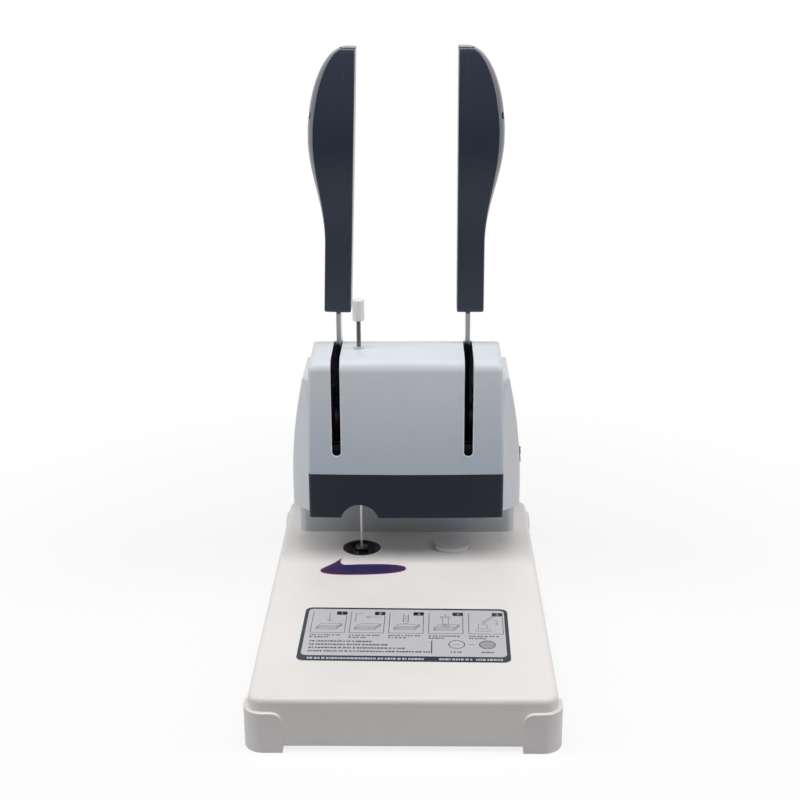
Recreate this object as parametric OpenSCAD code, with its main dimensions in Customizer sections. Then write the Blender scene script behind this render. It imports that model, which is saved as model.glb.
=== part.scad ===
// Document riveting machine: a hollow drill on the right and a hot riveting ram on the left,
// each driven down by its own hand lever through a toothed sector and a rack.
// X runs to the operator's right, Y away from the operator and Z up. The origin lies on the
// table under the middle of the base. All sizes are millimetres.

/* [Base] */
// Width of the base cover
base_w = 234; // [228:1:250]
// Depth of the base cover, front to rear
base_l = 386; // [376:1:400]
// Height of the base cover
base_h = 40; // [38:0.5:44]
// Gap between the table and the base cover's lower edge
base_gap = 4; // [3:0.5:5]
// Corner radius of the base cover in plan
base_corner_r = 12; // [9:1:15]
// Radius of the base cover's top edge
base_edge_r = 4.5; // [3.5:0.5:6]
// Wall thickness of the base cover
base_wall = 2.5; // [2:0.5:3]
// Thickness of the steel bottom plate
base_plate_t = 2; // [1.5:0.5:3]
// Radius of the moulded screw bosses under the base cover
base_boss_r = 5; // [5:0.5:8]

/* [Corner guards] */
// Wall thickness of a rubber corner guard
guard_t = 3.5; // [2.5:0.5:4.5]
// Length of a guard's leg along the base
guard_leg = 30; // [24:1:40]
// Height of a guard
guard_h = 33; // [26:1:36]
// Radius at the free upper tip of a guard's leg
guard_tip_r = 8; // [4:1:12]

/* [Stations] */
// Distance of both stations behind the middle of the base
station_y = 77; // [76:0.5:78]
// Riveting station, left of the middle
rivet_x = 41.5; // [41:0.5:42]
// Drilling station, right of the middle
drill_x = 42; // [41.5:0.5:42.5]
// Diameter of the black insulating ring
ring_d = 35; // [33:0.5:38]
// Diameter of the lower riveting die
die_d = 12; // [11:0.5:14]
// Height of the lower die above the base cover
die_proud = 1.5; // [0.5:0.5:3]
// Diameter of the plastic drill pad
pad_d = 33; // [30:0.5:36]
// Height of the drill pad above the base cover
pad_proud = 3.5; // [2:0.5:5]
// How far the pad's own axle lies behind the drill
pad_shift = 4; // [2:0.5:6]

/* [Column and head] */
// Front wall of the column
throat_y = 113; // [112:0.5:116]
// Half width of the column
column_half_w = 101.8; // [100:0.2:102.6]
// Rear face of column and head
back_y = 180; // [178:1:184]
// Corner radius of the column's front
column_corner_r = 8; // [5:1:12]
// Wall thickness of the sheet covers
cover_wall = 2.5; // [2:0.25:3]
// Height of the head's underside
head_z = 89; // [87:0.5:91]
// Height of the line between the dark visor and the front cover
visor_top_z = 130; // [124:1:136]
// Height of the head at its sides
head_top_z = 234; // [233:0.5:240]
// Rise of the head's top in the middle
head_crown = 3; // [1:0.5:4]
// Half width of the front cover
head_half_w = 86.5; // [86.5:0.5:88]
// How far each side of the head leans in above the visor
head_draft = 2; // [0:0.25:2]
// Front face of the head at its edges
head_front_y = 44; // [43:0.5:45]
// How far the front face bows forward in the middle
face_bow = 2; // [1:0.5:4]
// Radius between the front face and the top
front_roll_r = 13; // [8:1:16]
// Radius between the top and the rear face
rear_roll_r = 97; // [75:1:98]
// Radius of the front cover's upper side corners
head_corner_r = 6.5; // [5:0.5:10]
// Split between front cover and rear cover on the top
cover_split_y = 125; // [120:1:130]
// Radius of the round cut in the visor
visor_cut_r = 17.4; // [14:0.2:20]
// Depth of the visor cut's centre below the visor's lower edge
visor_cut_drop = 5; // [2:0.5:8]

/* [Side covers] */
// Half width over the side covers
cheek_half_w = 103.5; // [103.5:0.5:106]
// Front edge of the side covers
cheek_front_y = 57; // [54:1:60]
// Height of the side covers' top
cheek_top_z = 217; // [210:1:220]
// Radius of the long bulge of a side cover, seen from the front
cheek_bulge_r = 520; // [450:10:700]
// Radius of a side cover's upper shoulder
cheek_shoulder_r = 8; // [5:1:10]
// Radius of a side cover's rear edge
cheek_rear_r = 20; // [16:1:24]

/* [Lever slots] */
// Width of both lever slots
slot_w = 8.7; // [7:0.1:9.5]
// Middle of the left slot, left of the middle
rivet_slot_x = 61; // [60:0.5:62]
// Middle of the right slot
drill_slot_x = 55; // [54:0.5:56]
// Lower end of the slots on the front face
slot_bottom_z = 146.8; // [140:0.2:147]
// Rear end of the slots on the top
slot_end_y = 115; // [114:0.5:118]

/* [Levers] */
// Height of the cross axle
axle_z = 158; // [157:0.5:159]
// Distance of the cross axle behind the middle of the base
axle_y = 102; // [101.5:0.5:102.5]
// Diameter of the cross axle
axle_d = 12; // [10:0.5:12.5]
// Middle of the left lever strip, left of the middle
rivet_arm_x = 60; // [59.5:0.5:60.5]
// Middle of the right lever strip
drill_arm_x = 55; // [54.5:0.5:56]
// Thickness of a lever strip
arm_t = 4; // [3:0.5:5]
// Depth of a lever strip
arm_d = 20; // [16:1:21]
// Swing of a lever from upright
lever_swing = 85; // [80:1:86]
// Inward lean of the left grip
rivet_grip_lean = 1.8; // [0:0.2:2.4]

/* [Grips] */
// Height of a grip's lower end
grip_z = 266; // [262:1:272]
// Length of a grip
grip_len = 228; // [200:1:240]
// Width of a grip at its neck
neck_w = 24.4; // [22:0.2:26]
// Width of a grip at its belly
belly_w = 40.3; // [34:0.5:44]
// Height of the belly above the grip's lower end
belly_h = 154; // [140:1:160]
// Length of the straight neck
neck_h = 60; // [40:1:80]
// Width of a grip's flat tip
tip_w = 8.6; // [8.4:0.1:9.2]
// How far a grip's outer face bulges at the neck
neck_crown = 0.8; // [0.6:0.1:1.5]
// How far a grip's outer face bulges at the belly
belly_crown = 5; // [3:0.5:6]
// Depth of a grip at its neck
neck_d = 28; // [26:1:32]
// Depth of a grip at its belly
belly_d = 36; // [32:1:40]
// Distance from the left strip's middle to its grip's flat inner face
rivet_grip_reach = 11.5; // [9.5:0.5:12]
// Distance from the right strip's middle to its grip's flat inner face
drill_grip_reach = 10; // [9.5:0.5:12]

/* [Gears] */
// Module of sector and rack teeth
gear_module = 1.5; // [1.25:0.25:1.5]
// Teeth that a full gear of the sector's size has
gear_teeth = 44; // [43:1:45]
// Face width of the sectors and racks
gear_w = 6; // [4:0.5:6]
// Play between the teeth, along the pitch line
backlash = 0.3; // [0.2:0.05:0.5]

/* [Rams] */
// Outer diameter of both sliding quills
quill_d = 16; // [15:0.5:16]
// Thickness of a carriage
carriage_t = 12; // [10:0.5:12]
// Diameter of a guide post
post_d = 8; // [6:0.5:8]
// Thickness of the plate that joins the quills' guides
guide_plate_t = 4; // [3:0.5:5]
// Diameter of the drill spindle
spindle_d = 8; // [7:0.5:8.5]
// Diameter of the hollow drill
drill_d = 5; // [4:0.5:6]
// Length of drill below the chuck
drill_reach = 30; // [26:1:31]
// Diameter of the drill motor
motor_d = 34; // [30:1:34]
// Length of the drill motor
motor_h = 56; // [50:1:60]
// Diameter of the needle
needle_d = 2.2; // [1.8:0.2:2.4]
// Diameter of the guide rod above the needle
rod_d = 3.8; // [3.4:0.2:4]
// Diameter of the rod's knob
knob_d = 10.4; // [9:0.2:11]
// Height of the knob
knob_h = 19; // [15:1:22]
// Height of the knob's lower end
knob_z = 262; // [256:1:266]

/* [Hidden] */
$fn = 72;

// Clearances
run_gap = 0.05;      // radial gap of a shaft that turns or slides in its bore
panel_gap = 0.2;     // gap between neighbouring covers
stroke_gap = 1;      // gap left at the end of a stroke
screw_gap = 0.2;     // radial gap of a screw in its hole
eps = 0.01;          // overlap that joins faces of one solid

// Base
base_top_z = base_gap + base_h;
floor_z = base_gap + base_plate_t;
base_inner_w = base_w - 2 * base_wall;
base_inner_l = base_l - 2 * base_wall;
plate_gap = 0.3;
base_boss_x = base_w / 2 - 18;
base_boss_y = [35 - base_l / 2, 20, base_l / 2 - 35];
column_well = [168, 58];
guard_floor = 14;
screw_r = 1.5;
screw_head_r = 2.9;
screw_head_h = 2;
screw_len = 12;

// Head and column
head_floor_t = 4;
head_floor_top = head_z + head_floor_t;
visor_z = head_z - 0.4;
visor_depth = cheek_front_y + 4 - (head_front_y - face_bow);
head_apex_z = head_top_z + head_crown;
head_apex_y = head_front_y - face_bow;
edge_r = 3;
bow_half = head_half_w - edge_r;
bow_r = (bow_half * bow_half + face_bow * face_bow) / (2 * face_bow);
crown_half = head_half_w - head_draft - head_corner_r;
draft_z = visor_top_z - panel_gap;
draft_slope = head_draft / (head_top_z - head_corner_r - draft_z);
crown_r = (crown_half * crown_half + head_crown * head_crown) / (2 * head_crown);
rear_centre = [back_y - rear_roll_r, head_apex_z - rear_roll_r];

// Side covers
cheek_inner_x = head_half_w + panel_gap;
cheek_sweep = cheek_half_w - head_half_w;
cheek_bulge_z = 100;
cheek_shoulder_z = cheek_top_z - cheek_shoulder_r;
cheek_top_x = cheek_half_w - cheek_bulge_r
    + sqrt(pow(cheek_bulge_r, 2) - pow(cheek_shoulder_z - cheek_bulge_z, 2));
cheek_fillet_r = 15;
cheek_roll_r = rear_roll_r - (head_apex_z - cheek_top_z);

// Frame
frame_t = 3;
frame_x = head_half_w - head_draft - cover_wall - frame_t - panel_gap;
frame_back_y = back_y - cover_wall - 3 * panel_gap;
frame_front_y = head_front_y + 8;
frame_web_y = frame_back_y - 9;
frame_top_z = head_top_z - cover_wall - 6;
foot_w = 14;
foot_t = 3;
tab_w = 16;
tab_t = 4;
rear_screw_x = frame_x - tab_w / 2;
rear_screw_z = [base_top_z + 12, head_z + 50];

// Gears: the pitch line of the rack stands in front of the cross axle
pitch_r = gear_module * gear_teeth / 2;
pressure = 20;
base_circle_r = pitch_r * cos(pressure);
tip_r = pitch_r + gear_module;
root_r = pitch_r - 1.25 * gear_module;
tooth_pitch = PI * gear_module;
tooth_angle = 360 / gear_teeth;
tooth_thick = tooth_pitch / 2 - backlash / 2;
first_tooth = -3;
last_tooth = ceil((lever_swing + 13) / tooth_angle);
travel = lever_swing * PI / 180 * pitch_r;
rack_pitch_y = axle_y - pitch_r;
rack_tip_y = rack_pitch_y + gear_module;
rack_root_y = rack_pitch_y - 1.25 * gear_module;
rack_back_y = rack_root_y - 8;

// Lever hubs
spigot_r = 10;
flange_r = 17;
flange_t = 3;
eye_r = 17;
hub_screw_r = 13.2;
collar_r = 10;
collar_w = 8;
ring_t = 1.2;
ring_r = axle_d / 2 + 2.5;
groove_r = axle_d / 2 - 0.75;

// Rams
quill_r = quill_d / 2;
carriage_z = head_floor_top + stroke_gap + travel;
carriage_top = carriage_z + carriage_t;
bar_y0 = rack_back_y - 9;
boss_r = quill_r + 6;
link_half = 5;
post_shift = [15, 10];
post_y = station_y + post_shift.y;
post_boss_r = post_d / 2 + 3;
guide_z0 = carriage_top + 1.5;
guide_plate_z = axle_z + collar_r + 1;
guide_top = guide_plate_z + guide_plate_t;
guide_boss_r = quill_r + 5;
guide_bar_y = [axle_y + eye_r - 2, axle_y + eye_r + 16];
quill_top = guide_top + stroke_gap + travel;
side_gap = 1.5;
rack_top = axle_z + travel + 7;

// Return springs: each sits round a thin rod on the carriage, above a seat on the frame
spring_x = frame_x - 4;
spring_y = rack_pitch_y - 3;
spring_rod_r = 1.5;
spring_wire_r = 0.4;
spring_mean_r = 2.6;
spring_turns = 14;
spring_seat_z = carriage_top + 2;
spring_seat_t = 3;
spring_z0 = spring_seat_z + spring_seat_t;
spring_len = travel + 12;
spring_cap_z = spring_z0 + spring_len;
spring_cap_t = 2.5;
spring_gap = 0.3;

// Lower stations
die_top = base_top_z + die_proud;
die_stem_r = 4;
die_stem_z = floor_z + 12;
die_hole_z = base_top_z - 4;
heater_r = 15;
heater_z = [floor_z + 10, floor_z + 26];
ring_sink = 0.5;
ring_bowl = 3.5;
pad_top = base_top_z + pad_proud;
pad_x = drill_x;
pad_y = station_y + pad_shift;
pad_z = base_top_z - 5;
pad_stud_r = 3;
pad_stud_len = 10;
pad_gap = 0.5;

// Riveting ram
press_gap = 2.2;
upper_die_z = die_top + press_gap + travel;
upper_die_r = die_d / 2 + 1;
upper_die_h = 3.3;
upper_heater_r = 11.5;
upper_heater_h = 18;
rivet_quill_z = upper_die_z + upper_die_h + upper_heater_h;
needle_gap = 0.1;
needle_z = die_hole_z;
rod_z = rivet_quill_z + 12;
rod_seat = 5;
knob_seat = 8;
bush_flange_r = 4.5;
bush_flange_h = 2.4;
bush_neck_r = 3.2;
bush_drop = 6;

// Drilling ram
drill_tip_z = pad_top + 0.4 + travel;
chuck_z = drill_tip_z + drill_reach;
chuck_r = 7;
chuck_top = carriage_z - 3.5;
spindle_z = chuck_z + 6;
spindle_top = quill_top + 7.5;
spindle_bore_r = drill_d / 2 - 0.6;
bearing_r = spindle_d / 2 + 2;
bearing_len = 8;
quill_flange_r = quill_r + 3;
quill_flange_t = 3;
motor_x = 0;
motor_z = carriage_z + 6;
motor_shaft_r = 2;
pulley_z = quill_top + 0.5;
pulley_h = 7;
pulley_rim = 1.5;
pulley_groove_r = 6.5;
belt_gap = 0.3;
belt_t = 1.5;
belt_w = pulley_h - 2 * pulley_rim - 1;

// Mains inlet and switch
inlet_x = base_w / 2 - 65;
inlet_z = base_gap + 20;
inlet_body = [30, 22, 24];
inlet_flange = [50, 26, 2];
inlet_socket = [24.5, 16.5, 16];
inlet_pin = [4, 2, 9];
switch_y = 95;
switch_z = 132;
switch_tilt = asin((switch_z - cheek_bulge_z) / cheek_bulge_r);
switch_x = cheek_half_w - cheek_bulge_r * (1 - cos(switch_tilt));
switch_body = [12, 18, 8];
switch_bezel = [1.2, 22, 11];
rocker_half = 6.5;
rocker_gap = 0.2;
rocker_pin_r = 0.8;
rocker_tilt = 8;

// Colours
cream = "#e9e6e1";
steel = "#a9adb2";
dark = "#262a33";
navy = "#2c333f";
shell_grey = "#c3c7cc";
black = "#1b1c1f";
brass = "#b59a55";
board_green = "#2f6b45";

// ---------- helpers ----------

module along_x(x0, x1) translate([x0, 0, 0]) rotate([90, 0, 90]) linear_extrude(x1 - x0) children();
module along_y(y0, y1) translate([0, y1, 0]) rotate([90, 0, 0]) linear_extrude(y1 - y0) children();
module along_z(z0, z1) translate([0, 0, z0]) linear_extrude(z1 - z0) children();

// Round bar between two stations on an axis parallel to X
module bar_x(x0, x1, y, z, r) translate([x0, y, z]) rotate([0, 90, 0]) cylinder(h = x1 - x0, r = r);

// Upright round bar
module bar_z(x, y, z0, z1, r) translate([x, y, z0]) cylinder(h = z1 - z0, r = r);

module rounded_rect(w, l, r) {
    square([w - 2 * r, l], center = true);
    square([w, l - 2 * r], center = true);
    for (sx = [-1, 1], sy = [-1, 1]) translate([sx * (w / 2 - r), sy * (l / 2 - r)]) circle(r = r);
}

// Waste outside a round corner of radius r at the origin; the solid lies towards -x and -y
module corner_waste(r) {
    difference() {
        translate([-r, -r]) square(r + 1);
        translate([-r, -r]) circle(r = r);
    }
}

// Block with upright round corners and a rounded upper edge
module pillow(w, l, z0, z1, r, edge) {
    module side(half, h) {
        square([2 * half, h - edge]);
        translate([edge, 0]) square([2 * (half - edge), h]);
        for (x = [edge, 2 * half - edge]) translate([x, h - edge]) circle(r = edge);
    }
    h = z1 - z0;
    translate([0, 0, z0]) {
        along_y(r - l / 2, l / 2 - r) translate([-w / 2, 0]) side(w / 2, h);
        along_x(r - w / 2, w / 2 - r) translate([-l / 2, 0]) side(l / 2, h);
        for (sx = [-1, 1], sy = [-1, 1])
            translate([sx * (w / 2 - r), sy * (l / 2 - r), 0]) rotate_extrude() {
                square([r - edge, h]);
                square([r, h - edge]);
                intersection() {
                    translate([r - edge, h - edge]) circle(r = edge);
                    square([r + 1, h + 1]);
                }
            }
    }
}

// Pan-head screw along -Z: the head's seat lies at the origin
module screw(length = screw_len) {
    cylinder(h = screw_head_h, r = screw_head_r);
    translate([0, 0, -length]) cylinder(h = length + eps, r = screw_r);
}

// ---------- outer shapes of head and side covers ----------

// Head seen from above: flat sides, bowed front
module head_plan(inset) {
    w = 2 * (head_half_w - inset);
    y0 = head_front_y + inset;
    y1 = back_y - inset;
    translate([0, (y0 + y1) / 2]) rounded_rect(w, y1 - y0, edge_r - min(inset, edge_r - 0.4));
    intersection() {
        translate([0, head_apex_y + bow_r]) circle(r = bow_r - inset, $fn = 720);
        translate([-bow_half, head_apex_y]) square([2 * bow_half, face_bow + inset + 1]);
    }
}

// Head seen from the front: sides that lean in above the visor, round upper corners, crowned top
module head_front(inset) {
    low = head_half_w - inset;
    half = low - head_draft;
    top = head_top_z - inset;
    r = head_corner_r - inset;
    polygon([[-low, 0], [low, 0], [low, draft_z], [half, top - r], [-half, top - r], [-low, draft_z]]);
    translate([r - half, draft_z]) square([2 * (half - r), top - draft_z]);
    for (s = [-1, 1]) translate([s * (half - r), top - r]) circle(r = r);
    intersection() {
        translate([0, head_apex_z - crown_r]) circle(r = crown_r - inset, $fn = 720);
        translate([-crown_half, top - 1]) square([2 * crown_half, head_crown + 2]);
    }
}

// Head seen from the side: small roll in front, long roll behind
module head_side(inset, z0) {
    difference() {
        translate([head_apex_y + inset, z0])
            square([back_y - head_apex_y - 2 * inset, head_apex_z - inset - z0]);
        translate([back_y - inset, head_apex_z - inset]) corner_waste(rear_roll_r - inset);
        translate([head_apex_y + inset, head_apex_z - inset]) mirror([1, 0])
            corner_waste(front_roll_r - inset);
    }
}

module head_solid(inset, z0) {
    intersection() {
        along_z(z0, head_apex_z + 1) head_plan(inset);
        along_y(head_apex_y - 1, back_y + 1) head_front(inset);
        along_x(-head_half_w - 1, head_half_w + 1) head_side(inset, z0);
    }
}

module head_shell(z0) {
    difference() {
        head_solid(0, z0);
        head_solid(cover_wall, z0 - 1);
    }
}

// Right side cover seen from above: swept front corner, round rear corner
module cheek_plan(inset) {
    x1 = cheek_half_w - inset;
    y0 = cheek_front_y + inset;
    y1 = back_y - inset;
    sweep = cheek_sweep;
    r = cheek_fillet_r - inset;
    rear = cheek_rear_r - inset;
    cut = r * tan(22.5);
    lead = inset * tan(22.5);
    corner_y = y0 + sweep - inset + lead;
    polygon([
        [60, y0], [head_half_w - lead, y0], [x1 - cut * cos(45), corner_y - cut * sin(45)],
        [x1, corner_y + cut], [x1, y1 - rear], [x1 - rear, y1], [60, y1]
    ]);
    translate([x1 - r, corner_y + cut]) circle(r = r);
    translate([x1 - rear, y1 - rear]) circle(r = rear);
}

// Right side cover seen from the front: long bulge, round shoulder
module cheek_front(inset) {
    top = cheek_top_z - inset;
    z0 = head_z + inset;
    r = cheek_shoulder_r - inset;
    translate([60, z0]) square([cheek_half_w - inset - 60, cheek_bulge_z - z0]);
    intersection() {
        translate([cheek_half_w - cheek_bulge_r, cheek_bulge_z])
            circle(r = cheek_bulge_r - inset, $fn = 360);
        translate([60, cheek_bulge_z]) square([60, cheek_shoulder_z - cheek_bulge_z]);
    }
    translate([cheek_top_x - cheek_shoulder_r, cheek_shoulder_z]) circle(r = r);
    translate([60, cheek_shoulder_z - 1])
        square([cheek_top_x - cheek_shoulder_r - 60, top - cheek_shoulder_z + 1]);
}

// Side cover seen from the side
module cheek_side(inset) {
    difference() {
        translate([cheek_front_y + inset, head_z + inset])
            square([back_y - cheek_front_y - 2 * inset, cheek_top_z - head_z - 2 * inset]);
        translate([back_y - inset, cheek_top_z - inset]) corner_waste(cheek_roll_r - inset);
        translate([cheek_front_y + inset, cheek_top_z - inset]) mirror([1, 0]) corner_waste(10 - inset);
    }
}

module cheek_solid(inset) {
    intersection() {
        along_z(head_z, cheek_top_z) cheek_plan(inset);
        along_y(cheek_front_y, back_y) cheek_front(inset);
        along_x(60, cheek_half_w + 1) cheek_side(inset);
    }
}

module cheek() {
    difference() {
        cheek_solid(0);
        cheek_solid(cover_wall);
        along_y(0, back_y + 1) polygon([
            [0, head_z - 1], [cheek_inner_x, head_z - 1], [cheek_inner_x, draft_z],
            [cheek_inner_x - draft_slope * (cheek_top_z + 1 - draft_z), cheek_top_z + 1], [0, cheek_top_z + 1]
        ]);
    }
}

// ---------- base ----------

module base_cover() {
    color(cream) {
        difference() {
            pillow(base_w, base_l, base_gap, base_top_z, base_corner_r, base_edge_r);
            translate([0, 0, -1]) pillow(base_inner_w, base_inner_l, base_gap, base_top_z - base_wall + 1,
                base_corner_r - base_wall, base_edge_r - base_wall);
            bar_z(-rivet_x, station_y, base_gap, base_top_z + 1, ring_d / 2 + 0.1);
            bar_z(pad_x, pad_y, base_gap, base_top_z + 1, pad_d / 2 + pad_gap);
            translate([-column_well.x / 2 - 2, frame_back_y - column_well.y - 1, base_gap])
                cube([column_well.x + 4, column_well.y + 2, base_h + 1]);
            translate([inlet_x, base_l / 2, inlet_z])
                cube([inlet_body.x + 0.4, 4 * base_wall, inlet_body.y + 0.4], center = true);
        }
        for (x = [-base_boss_x, base_boss_x], y = base_boss_y) difference() {
            bar_z(x, y, floor_z, base_top_z - base_wall + eps, base_boss_r);
            bar_z(x, y, floor_z - 1, floor_z + screw_len, screw_r);
        }
    }
}

module base_plate() {
    color(steel) difference() {
        along_z(base_gap, floor_z) rounded_rect(base_inner_w - 2 * plate_gap, base_inner_l - 2 * plate_gap,
            base_corner_r - base_wall);
        for (x = [-base_boss_x, base_boss_x], y = base_boss_y)
            bar_z(x, y, 0, floor_z + 1, screw_r + screw_gap);
    }
}

module base_screws() {
    color(steel) for (x = [-base_boss_x, base_boss_x], y = base_boss_y)
        translate([x, y, base_gap]) mirror([0, 0, 1]) screw(screw_len - 2);
}

// Leg of a guard seen from the side: its free upper tip is round
module guard_leg_profile() {
    difference() {
        translate([-1, 0]) square([guard_leg + 1, guard_h]);
        translate([guard_leg, guard_h]) corner_waste(guard_tip_r);
    }
}

module corner_guard() {
    x1 = base_w / 2 + guard_t;
    y1 = base_l / 2 + guard_t;
    intersection() {
        union() {
            difference() {
                along_z(0, guard_h) rounded_rect(2 * x1, 2 * y1, base_corner_r + guard_t);
                along_z(base_gap, guard_h + 1) rounded_rect(base_w, base_l, base_corner_r);
                along_z(-1, base_gap + 1)
                    rounded_rect(base_w - 2 * guard_floor, base_l - 2 * guard_floor, base_corner_r);
            }
        }
        union() {
            translate([x1 - guard_leg, 0, 0]) along_y(y1 - base_corner_r - guard_t, y1)
                mirror([1, 0]) translate([-guard_leg, 0]) guard_leg_profile();
            translate([0, y1 - guard_leg, 0]) along_x(x1 - base_corner_r - guard_t, x1)
                mirror([1, 0]) translate([-guard_leg, 0]) guard_leg_profile();
        }
    }
}

module corner_guards() {
    color(shell_grey) for (sx = [0, 1], sy = [0, 1])
        mirror([sx, 0, 0]) mirror([0, sy, 0]) corner_guard();
}

// ---------- frame ----------

module frame_profile() {
    difference() {
        union() {
            translate([frame_back_y - column_well.y, floor_z]) square([column_well.y, 150]);
            translate([frame_front_y, head_floor_top])
                square([frame_back_y - frame_front_y, frame_top_z - head_floor_top]);
        }
        translate([frame_back_y, frame_top_z]) corner_waste(rear_roll_r - 12);
        translate([frame_front_y, frame_top_z]) mirror([1, 0]) corner_waste(10);
        translate([axle_y, axle_z]) circle(r = axle_d / 2);
        translate([axle_y + 45, axle_z - 40]) circle(r = 14);
        translate([axle_y + 45, axle_z - 85]) circle(r = 14);
    }
}

module main_frame() {
    color(steel) {
        for (s = [0, 1]) mirror([s, 0, 0]) {
            along_x(frame_x, frame_x + frame_t) frame_profile();
            translate([frame_x - foot_w, frame_back_y - column_well.y + 4, floor_z])
                cube([foot_w + eps, column_well.y - 20, foot_t]);
            // Seat of the return spring, riveted to the side plate
            difference() {
                translate([spring_x - 3, spring_y - 5, spring_seat_z])
                    cube([frame_x - spring_x + 3 + eps, 10, spring_seat_t]);
                bar_z(spring_x, spring_y, spring_seat_z - 1, spring_z0 + 1, spring_rod_r + screw_gap);
            }
        }
        translate([-frame_x - eps, frame_web_y, base_top_z + 6])
            cube([2 * (frame_x + eps), frame_t, axle_z - 16 - base_top_z - 6]);
        // Bent tabs that take the rear cover's screws
        for (s = [-1, 1], z = rear_screw_z) difference() {
            translate([s * (frame_x - tab_w / 2 + eps), frame_back_y - tab_t / 2, z])
                cube([tab_w, tab_t, tab_w], center = true);
            translate([s * rear_screw_x, frame_back_y + 1, z]) rotate([90, 0, 0])
                cylinder(h = tab_t + 2, r = screw_r);
        }
    }
}

// Floor of the head, with a notch that keeps the view of the needle free
module head_floor() {
    notch_y = station_y - 7;
    y0 = head_front_y + cover_wall + 3 * panel_gap;
    y1 = frame_back_y - column_well.y - 0.5;
    half = head_half_w - cover_wall;
    color(steel) difference() {
        translate([-half, y0, head_z]) cube([2 * half, y1 - y0, head_floor_t]);
        bar_z(-rivet_x, station_y, head_z - 1, head_floor_top + 1, upper_heater_r + 1);
        bar_z(-rivet_x, notch_y, head_z - 1, head_floor_top + 1, visor_cut_r);
        translate([-rivet_x - visor_cut_r, y0 - 1, head_z - 1])
            cube([2 * visor_cut_r, notch_y - y0 + 1, head_floor_t + 2]);
        bar_z(drill_x, station_y, head_z - 1, head_floor_top + 1, quill_flange_r + 1.5);
        for (x = [post_shift.x - rivet_x, drill_x - post_shift.x])
            bar_z(x, post_y, head_z - 1, head_floor_top + 1, post_d / 2);
    }
}

// Arm of the guide bracket over one station, drawn for the right-hand side
module guide_arm(ram_x, arm_x) {
    x1 = arm_x - arm_t / 2 - side_gap;
    x0 = ram_x - post_shift.x - post_boss_r;
    difference() {
        intersection() {
            union() {
                bar_z(ram_x, station_y, guide_z0, guide_top, guide_boss_r);
                bar_z(ram_x - post_shift.x, post_y, guide_z0, guide_top, post_boss_r);
                translate([ram_x - post_shift.x, station_y - link_half, guide_z0])
                    cube([post_shift.x, post_shift.y + 2 * link_half, guide_top - guide_z0]);
                translate([x0, station_y, guide_plate_z])
                    cube([ram_x + guide_boss_r - x0, guide_bar_y[0] - station_y + 2,
                        guide_top - guide_plate_z]);
            }
            translate([0, 0, guide_z0]) cube([x1, guide_bar_y[1], guide_top - guide_z0]);
        }
        bar_z(ram_x, station_y, guide_z0 - 1, guide_top + 1, quill_r + run_gap);
        bar_z(ram_x - post_shift.x, post_y, guide_z0 - 1, guide_top + 1, post_d / 2);
    }
}

module guide_bracket() {
    color("#8f949a") {
        mirror([1, 0, 0]) guide_arm(rivet_x, rivet_arm_x);
        guide_arm(drill_x, drill_arm_x);
        translate([-frame_x, guide_bar_y[0], guide_plate_z])
            cube([2 * frame_x, guide_bar_y[1] - guide_bar_y[0], guide_top - guide_plate_z]);
    }
}

module guide_posts() {
    color(steel) for (x = [post_shift.x - rivet_x, drill_x - post_shift.x])
        bar_z(x, post_y, head_z, guide_top, post_d / 2);
}

// ---------- covers ----------

module throat_cover() {
    w = 2 * column_half_w;
    module ring(inset) {
        y0 = throat_y + inset;
        y1 = back_y - inset;
        r = column_corner_r - inset;
        rear = cheek_rear_r - 2 - inset;
        translate([0, (y0 + back_y - 40) / 2]) rounded_rect(w - 2 * inset, back_y - 40 - y0, r);
        translate([0, (throat_y + 20 + y1) / 2])
            rounded_rect(w - 2 * inset, y1 - throat_y - 20, rear);
    }
    color(shell_grey) difference() {
        along_z(base_top_z, head_z) ring(0);
        along_z(base_top_z - 1, head_z + 1) ring(cover_wall);
        translate([-head_half_w - panel_gap, back_y - 10, base_top_z - 1])
            cube([2 * (head_half_w + panel_gap), 20, head_z]);
    }
}

module side_cover_left() {
    color(shell_grey) mirror([1, 0, 0]) cheek();
}

module side_cover_right() {
    color(shell_grey) difference() {
        cheek();
        switch_place() cube([4 * cover_wall, switch_body.y + 2 * panel_gap, switch_body.z + 2 * panel_gap],
            center = true);
    }
}

module slot(x) {
    r = slot_w / 2;
    along_y(head_apex_y - 1, head_apex_y + 30) {
        translate([x, slot_bottom_z + r]) circle(r = r);
        translate([x - r, slot_bottom_z + r]) square([slot_w, head_apex_z]);
    }
    along_z(head_apex_z - 40, head_apex_z + 1) {
        translate([x, slot_end_y - r]) circle(r = r);
        translate([x - r, head_apex_y]) square([slot_w, slot_end_y - r - head_apex_y]);
    }
}

module front_cover() {
    color(shell_grey) difference() {
        head_shell(visor_top_z);
        translate([-head_half_w - 1, cover_split_y, 0]) cube([2 * head_half_w + 2, back_y, 2 * head_apex_z]);
        slot(-rivet_slot_x);
        slot(drill_slot_x);
        along_x(-head_half_w - 1, head_half_w + 1) translate([axle_y, axle_z]) {
            circle(r = ring_r + 1.5);
            translate([-ring_r - 1.5, visor_top_z - axle_z - 1])
                square([2 * ring_r + 3, axle_z - visor_top_z + 1]);
        }
        bar_z(-rivet_x, station_y, head_top_z - 10, head_apex_z + 1, bush_neck_r + 0.1);
    }
}

module front_visor() {
    color(dark) difference() {
        intersection() {
            head_shell(visor_z);
            translate([-head_half_w, head_apex_y, visor_z])
                cube([2 * head_half_w, visor_depth, visor_top_z - panel_gap - visor_z]);
        }
        translate([-rivet_x, 0, visor_z - visor_cut_drop]) rotate([-90, 0, 0])
            cylinder(h = head_front_y + face_bow + cover_wall, r = visor_cut_r);
    }
}

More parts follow.
